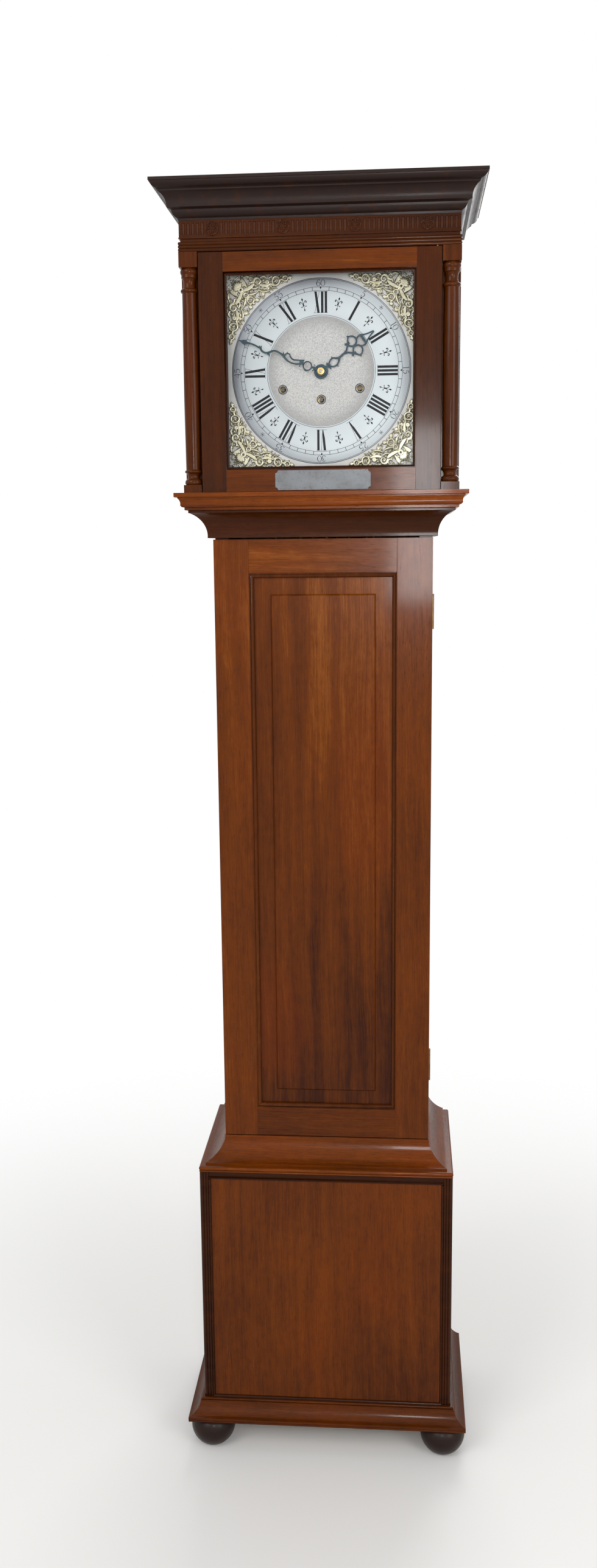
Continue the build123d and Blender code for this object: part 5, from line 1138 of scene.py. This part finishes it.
class CLOCK_OT_hands(bpy.types.Operator):
    """The pierced, blued hands and the brass nut that holds them"""

    bl_idname = "clock.hands"
    bl_label = "Hands"

    def execute(self, context):
        hands = context.scene.clock_hands
        blue = blued_steel("blued_steel")
        for name, lines, angle in (("minute", MINUTE_LINES, hands.minute_angle),
                                   ("hour", HOUR_LINES, hands.hour_angle)):
            low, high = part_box(f"{name}_hand")
            at = on_dial((low.y + high.y) / 2, angle)
            piece = bars(f"{name}_hand_pierced", lines, at, turns=3)
            cast(piece, FINE_GRAIN, high.y, low.y)
            placed(piece, f"{name}_hand", blue, [f"{name}_hand"])
        brass = metal("nut_brass", BRASS, OLD_BRASS, 0.26)
        nut = dressed("hand_nut", brass, 0.9 * MM, angle=60)
        at = on_dial(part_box("hand_nut")[0].y + 0.15 * MM)
        washer = smoothed(bars("hand_washer", [circle(0, 0, 3.1, 0.45, 12)], at, 0.6), ROUND)
        placed(washer, nut["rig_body"], brass)
        return {"FINISHED"}


# Fittings and works


class CLOCK_OT_plaque(bpy.types.Operator):
    """The plate below the dial, left bare, with its two pins"""

    bl_idname = "clock.plaque"
    bl_label = "Plaque"

    def execute(self, context):
        dressed("plaque", plate_silver("plaque_silver"), 0.25 * MM)
        return {"FINISHED"}


class CLOCK_OT_works(bpy.types.Operator):
    """The movement: plates, pillars, cocks, wheels, drums, rods and hammers"""

    bl_idname = "clock.works"
    bl_label = "Works"

    def execute(self, context):
        brass = metal("plate_brass", BRASS, OLD_BRASS, 0.28)
        steel = metal("bright_steel", STEEL, OLD_STEEL, 0.30)
        for node in ("movement_plates", "movement_cocks", "movement_pillars"):
            dressed(node, brass, 0.3 * MM)
        for node in ("chime_rods", "chime_hammers", "anchor", "pendulum_rod"):
            dressed(node, steel, 0.15 * MM)
        reaches = {"centre_wheel": 4.5, "third_wheel": 4.2, "escape_wheel": 4.0,
                   "cannon_wheel": 0.0, "hour_wheel": 0.0, "minute_wheel": 0.0}
        reaches.update({f"{train}_great_wheel": 0.0 for train in TRAINS})
        reaches.update({f"{train}_drum": 4.4 for train in TRAINS})
        for node, reach in reaches.items():
            low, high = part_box(node)
            # The drum arbors take steel darkened as painted shade inside the winding holes.
            arbor = SHADED_ARBOR_STEEL if "drum" in node else STEEL
            finish = arbor_metal(f"{node}_metal", (low.x + high.x) / 2, (low.z + high.z) / 2,
                                 reach * MM, BRASS, arbor)
            dressed(node, finish)
        return {"FINISHED"}


class CLOCK_OT_weights(bpy.types.Operator):
    """Brass weights on pulleys, their gut lines and the pendulum's bob"""

    bl_idname = "clock.weights"
    bl_label = "Weights and bob"

    def execute(self, context):
        brass = metal("weight_brass", BRASS, OLD_BRASS, 0.22, wear=0.3)
        line_gut = gut("gut_line")
        travel = {joint["name"]: joint["range_m"][1] for joint in frame["joints"] if "range_m" in joint}
        seat_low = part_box("seatboard")[0].z
        for train in TRAINS:
            dressed(f"{train}_weight", brass, 0.5 * MM)
            low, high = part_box(f"{train}_line")
            thick = (high.y - low.y) / 2
            middle, reach = (low.x + high.x) / 2, (high.x - low.x) / 2 - thick
            y, foot = (low.y + high.y) / 2, low.z + thick + reach
            loop = [(reach * math.cos(a), -reach * math.sin(a))
                    for a in (math.pi * i / 8 for i in range(9))]
            at = lambda u, v: Vector((middle + u, y, foot + v))
            half = [[(u, v, thick / MM) for u, v in loop]]
            piece = bars(f"{train}_line_loop", half, at, turns=2)
            placed(smoothed(piece, ROUND), f"{train}_weight", line_gut, [f"{train}_line"])
            for side, top in ((-1, high.z), (1, seat_low)):
                name = f"{train}_line_{'drum' if side < 0 else 'seat'}_side"
                run = [[(side * reach, (top - foot) * i / 24, thick / MM) for i in range(25)]]
                piece = smoothed(bars(name, run, at, turns=2, steps=2), ROUND)
                placed(piece, "case", line_gut, [f"{train}_line"])
                lift = travel[f"{train}_weight_lift"]
                (top - foot - lift) / (top - foot)
                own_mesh(piece)
        dressed("pendulum_bob", metal("bob_brass", BRASS, OLD_BRASS, 0.2, wear=0.2), 0.4 * MM)
        return {"FINISHED"}


# Stage


class CLOCK_OT_stage(bpy.types.Operator):
    """A pale floor, soft studio light and the camera"""

    bl_idname = "clock.stage"
    bl_label = "Stage"

    def execute(self, context):
        stage = context.scene.clock_stage
        context.scene.view_settings.view_transform = "Standard"
        self.camera(context, stage)
        bpy.ops.object.select_all(action="DESELECT")
        bpy.ops.mesh.primitive_plane_add(size=30)
        floor = context.view_layer.objects.active
        floor.name = "floor"
        paint = Finish("floor_paint")
        speck = paint.lumps(180, detail=3)
        tone = tuple(stage.floor)
        paint.surface(paint.blend(speck * 0.2, tone, darker(tone, 0.95)), 0.6 + speck * 0.1)
        reach = paint.maths("SQRT", paint.x * paint.x + paint.y * paint.y)
        fade = paint.between(reach, 0.35, 1.5) * self.shown(paint)
        near = paint.nodes["Principled BSDF"]
        far = paint.add("ShaderNodeEmission", {}, {"Strength": 1.0})
        mix = paint.add("ShaderNodeMixShader", {}, {0: fade, 1: near.outputs[0], 2: far.outputs[0]})
        paint.links.new(mix.outputs[0], paint.nodes["Material Output"].inputs[0])
        floor.data.materials.append(paint.material)
        self.daylight(context, stage)
        self.lamp("soft_key", (-1.9, -2.6, 2.9), (0, 0, 1.0), (1.8, 1.8), 48)
        self.lamp("soft_fill", (2.1, -2.3, 1.9), (0, 0, 0.9), (1.4, 1.4), 31)
        self.lamp("flash", (0.155, -1.93, 1.42), (0.06, 0, 1.3), (0.14, 0.46), 10)
        self.lamp("soft_back", (0.4, 2.6, 2.6), (0, 0, 1.2), (1.8, 1.8), 40)
        return {"FINISHED"}

    def camera(self, context, stage):
        bpy.ops.object.camera_add()
        camera = context.view_layer.objects.active
        camera.name = "photo_camera"
        flat = math.cos(stage.pitch)
        ahead = Vector((math.sin(stage.yaw) * flat, math.cos(stage.yaw) * flat, math.sin(stage.pitch)))
        level = ahead.cross(Vector((0, 0, 1))).normalized()
        above = level.cross(ahead)
        right = level * math.cos(stage.roll) + above * math.sin(stage.roll)
        up = above * math.cos(stage.roll) - level * math.sin(stage.roll)
        turn = Matrix((right, up, -ahead)).transposed().to_4x4()
        camera.matrix_world = Matrix.Translation(stage.camera_place) @ turn
        camera.data.sensor_width = 36
        camera.data.lens = stage.lens
        camera.data.clip_start = 0.05
        camera.data.clip_end = 100
        context.scene.camera = camera

    def daylight(self, context, stage):
        world = bpy.data.worlds.new("studio")
        context.scene.world = world
        world.use_nodes = True
        nodes, links = world.node_tree.nodes, world.node_tree.links
        nodes.clear()
        seen = nodes.new("ShaderNodeLightPath")
        either = nodes.new("ShaderNodeMath")
        either.operation = "MAXIMUM"
        links.new(seen.outputs["Is Camera Ray"], either.inputs[0])
        links.new(seen.outputs["Is Transmission Ray"], either.inputs[1])
        shown = nodes.new("ShaderNodeMath")
        shown.operation = "MAXIMUM"
        links.new(either.outputs[0], shown.inputs[0])
        links.new(seen.outputs["Is Glossy Ray"], shown.inputs[1])
        parts = []
        for strength in (stage.daylight, 1.0):
            light = nodes.new("ShaderNodeBackground")
            light.inputs["Color"].default_value = (1.0, 1.0, 1.0, 1.0) if parts else (0.98, 0.99, 1.0, 1.0)
            light.inputs["Strength"].default_value = strength
            parts.append(light)
        mix = nodes.new("ShaderNodeMixShader")
        links.new(shown.outputs[0], mix.inputs[0])
        links.new(parts[0].outputs[0], mix.inputs[1])
        links.new(parts[1].outputs[0], mix.inputs[2])
        out = nodes.new("ShaderNodeOutputWorld")
        links.new(mix.outputs[0], out.inputs["Surface"])

    def shown(self, finish):
        """1 where a camera, glossy or transmission ray looks, and 0 where the surface lights others."""
        path = finish.add("ShaderNodeLightPath").outputs
        rays = [path["Is Camera Ray"], path["Is Glossy Ray"], path["Is Transmission Ray"]]
        return finish.maths("MAXIMUM", finish.maths("MAXIMUM", *rays[:2]), rays[2])

    def lamp(self, name, place, target, size, power):
        bpy.ops.object.light_add(type="AREA", location=place)
        lamp = bpy.context.view_layer.objects.active
        lamp.name = name
        lamp.data.shape = "RECTANGLE"
        lamp.data.size, lamp.data.size_y = size
        lamp.data.energy = power
        lamp.rotation_mode = "QUATERNION"
        lamp.rotation_quaternion = (Vector(target) - Vector(place)).to_track_quat("-Z", "Y")


class CLOCK_PT_panel(bpy.types.Panel):
    """Lists the clock's pieces and settings"""

    bl_idname = "CLOCK_PT_panel"
    bl_label = "Longcase clock"
    bl_space_type = "VIEW_3D"
    bl_region_type = "UI"
    bl_category = "Clock"

    def draw(self, context):
        for operator in OPERATORS:
            self.layout.operator(operator.bl_idname)
        for name, group in SETTINGS.items():
            box = self.layout.box()
            for key in group.__annotations__:
                box.prop(getattr(context.scene, name), key)


OPERATORS = (
    CLOCK_OT_stage, CLOCK_OT_case, CLOCK_OT_trunk_door, CLOCK_OT_hood, CLOCK_OT_rosettes, CLOCK_OT_dial,
    CLOCK_OT_spandrels, CLOCK_OT_hands, CLOCK_OT_plaque, CLOCK_OT_works, CLOCK_OT_weights,
)


def register():
    for group in SETTINGS.values():
        bpy.utils.register_class(group)
    for name, group in SETTINGS.items():
        setattr(bpy.types.Scene, name, bpy.props.PointerProperty(type=group))
    for operator in OPERATORS:
        bpy.utils.register_class(operator)
    bpy.utils.register_class(CLOCK_PT_panel)


def unregister():
    bpy.utils.unregister_class(CLOCK_PT_panel)
    for operator in reversed(OPERATORS):
        bpy.utils.unregister_class(operator)
    for name in SETTINGS:
        delattr(bpy.types.Scene, name)
    for group in reversed(SETTINGS.values()):
        bpy.utils.unregister_class(group)


def main():
    register()
    for step in (bpy.ops.clock.stage, bpy.ops.clock.case, bpy.ops.clock.trunk_door, bpy.ops.clock.hood,
                 bpy.ops.clock.rosettes, bpy.ops.clock.dial, bpy.ops.clock.spandrels, bpy.ops.clock.hands,
                 bpy.ops.clock.plaque, bpy.ops.clock.works, bpy.ops.clock.weights):
        step()


if __name__ == "__main__":
    main()
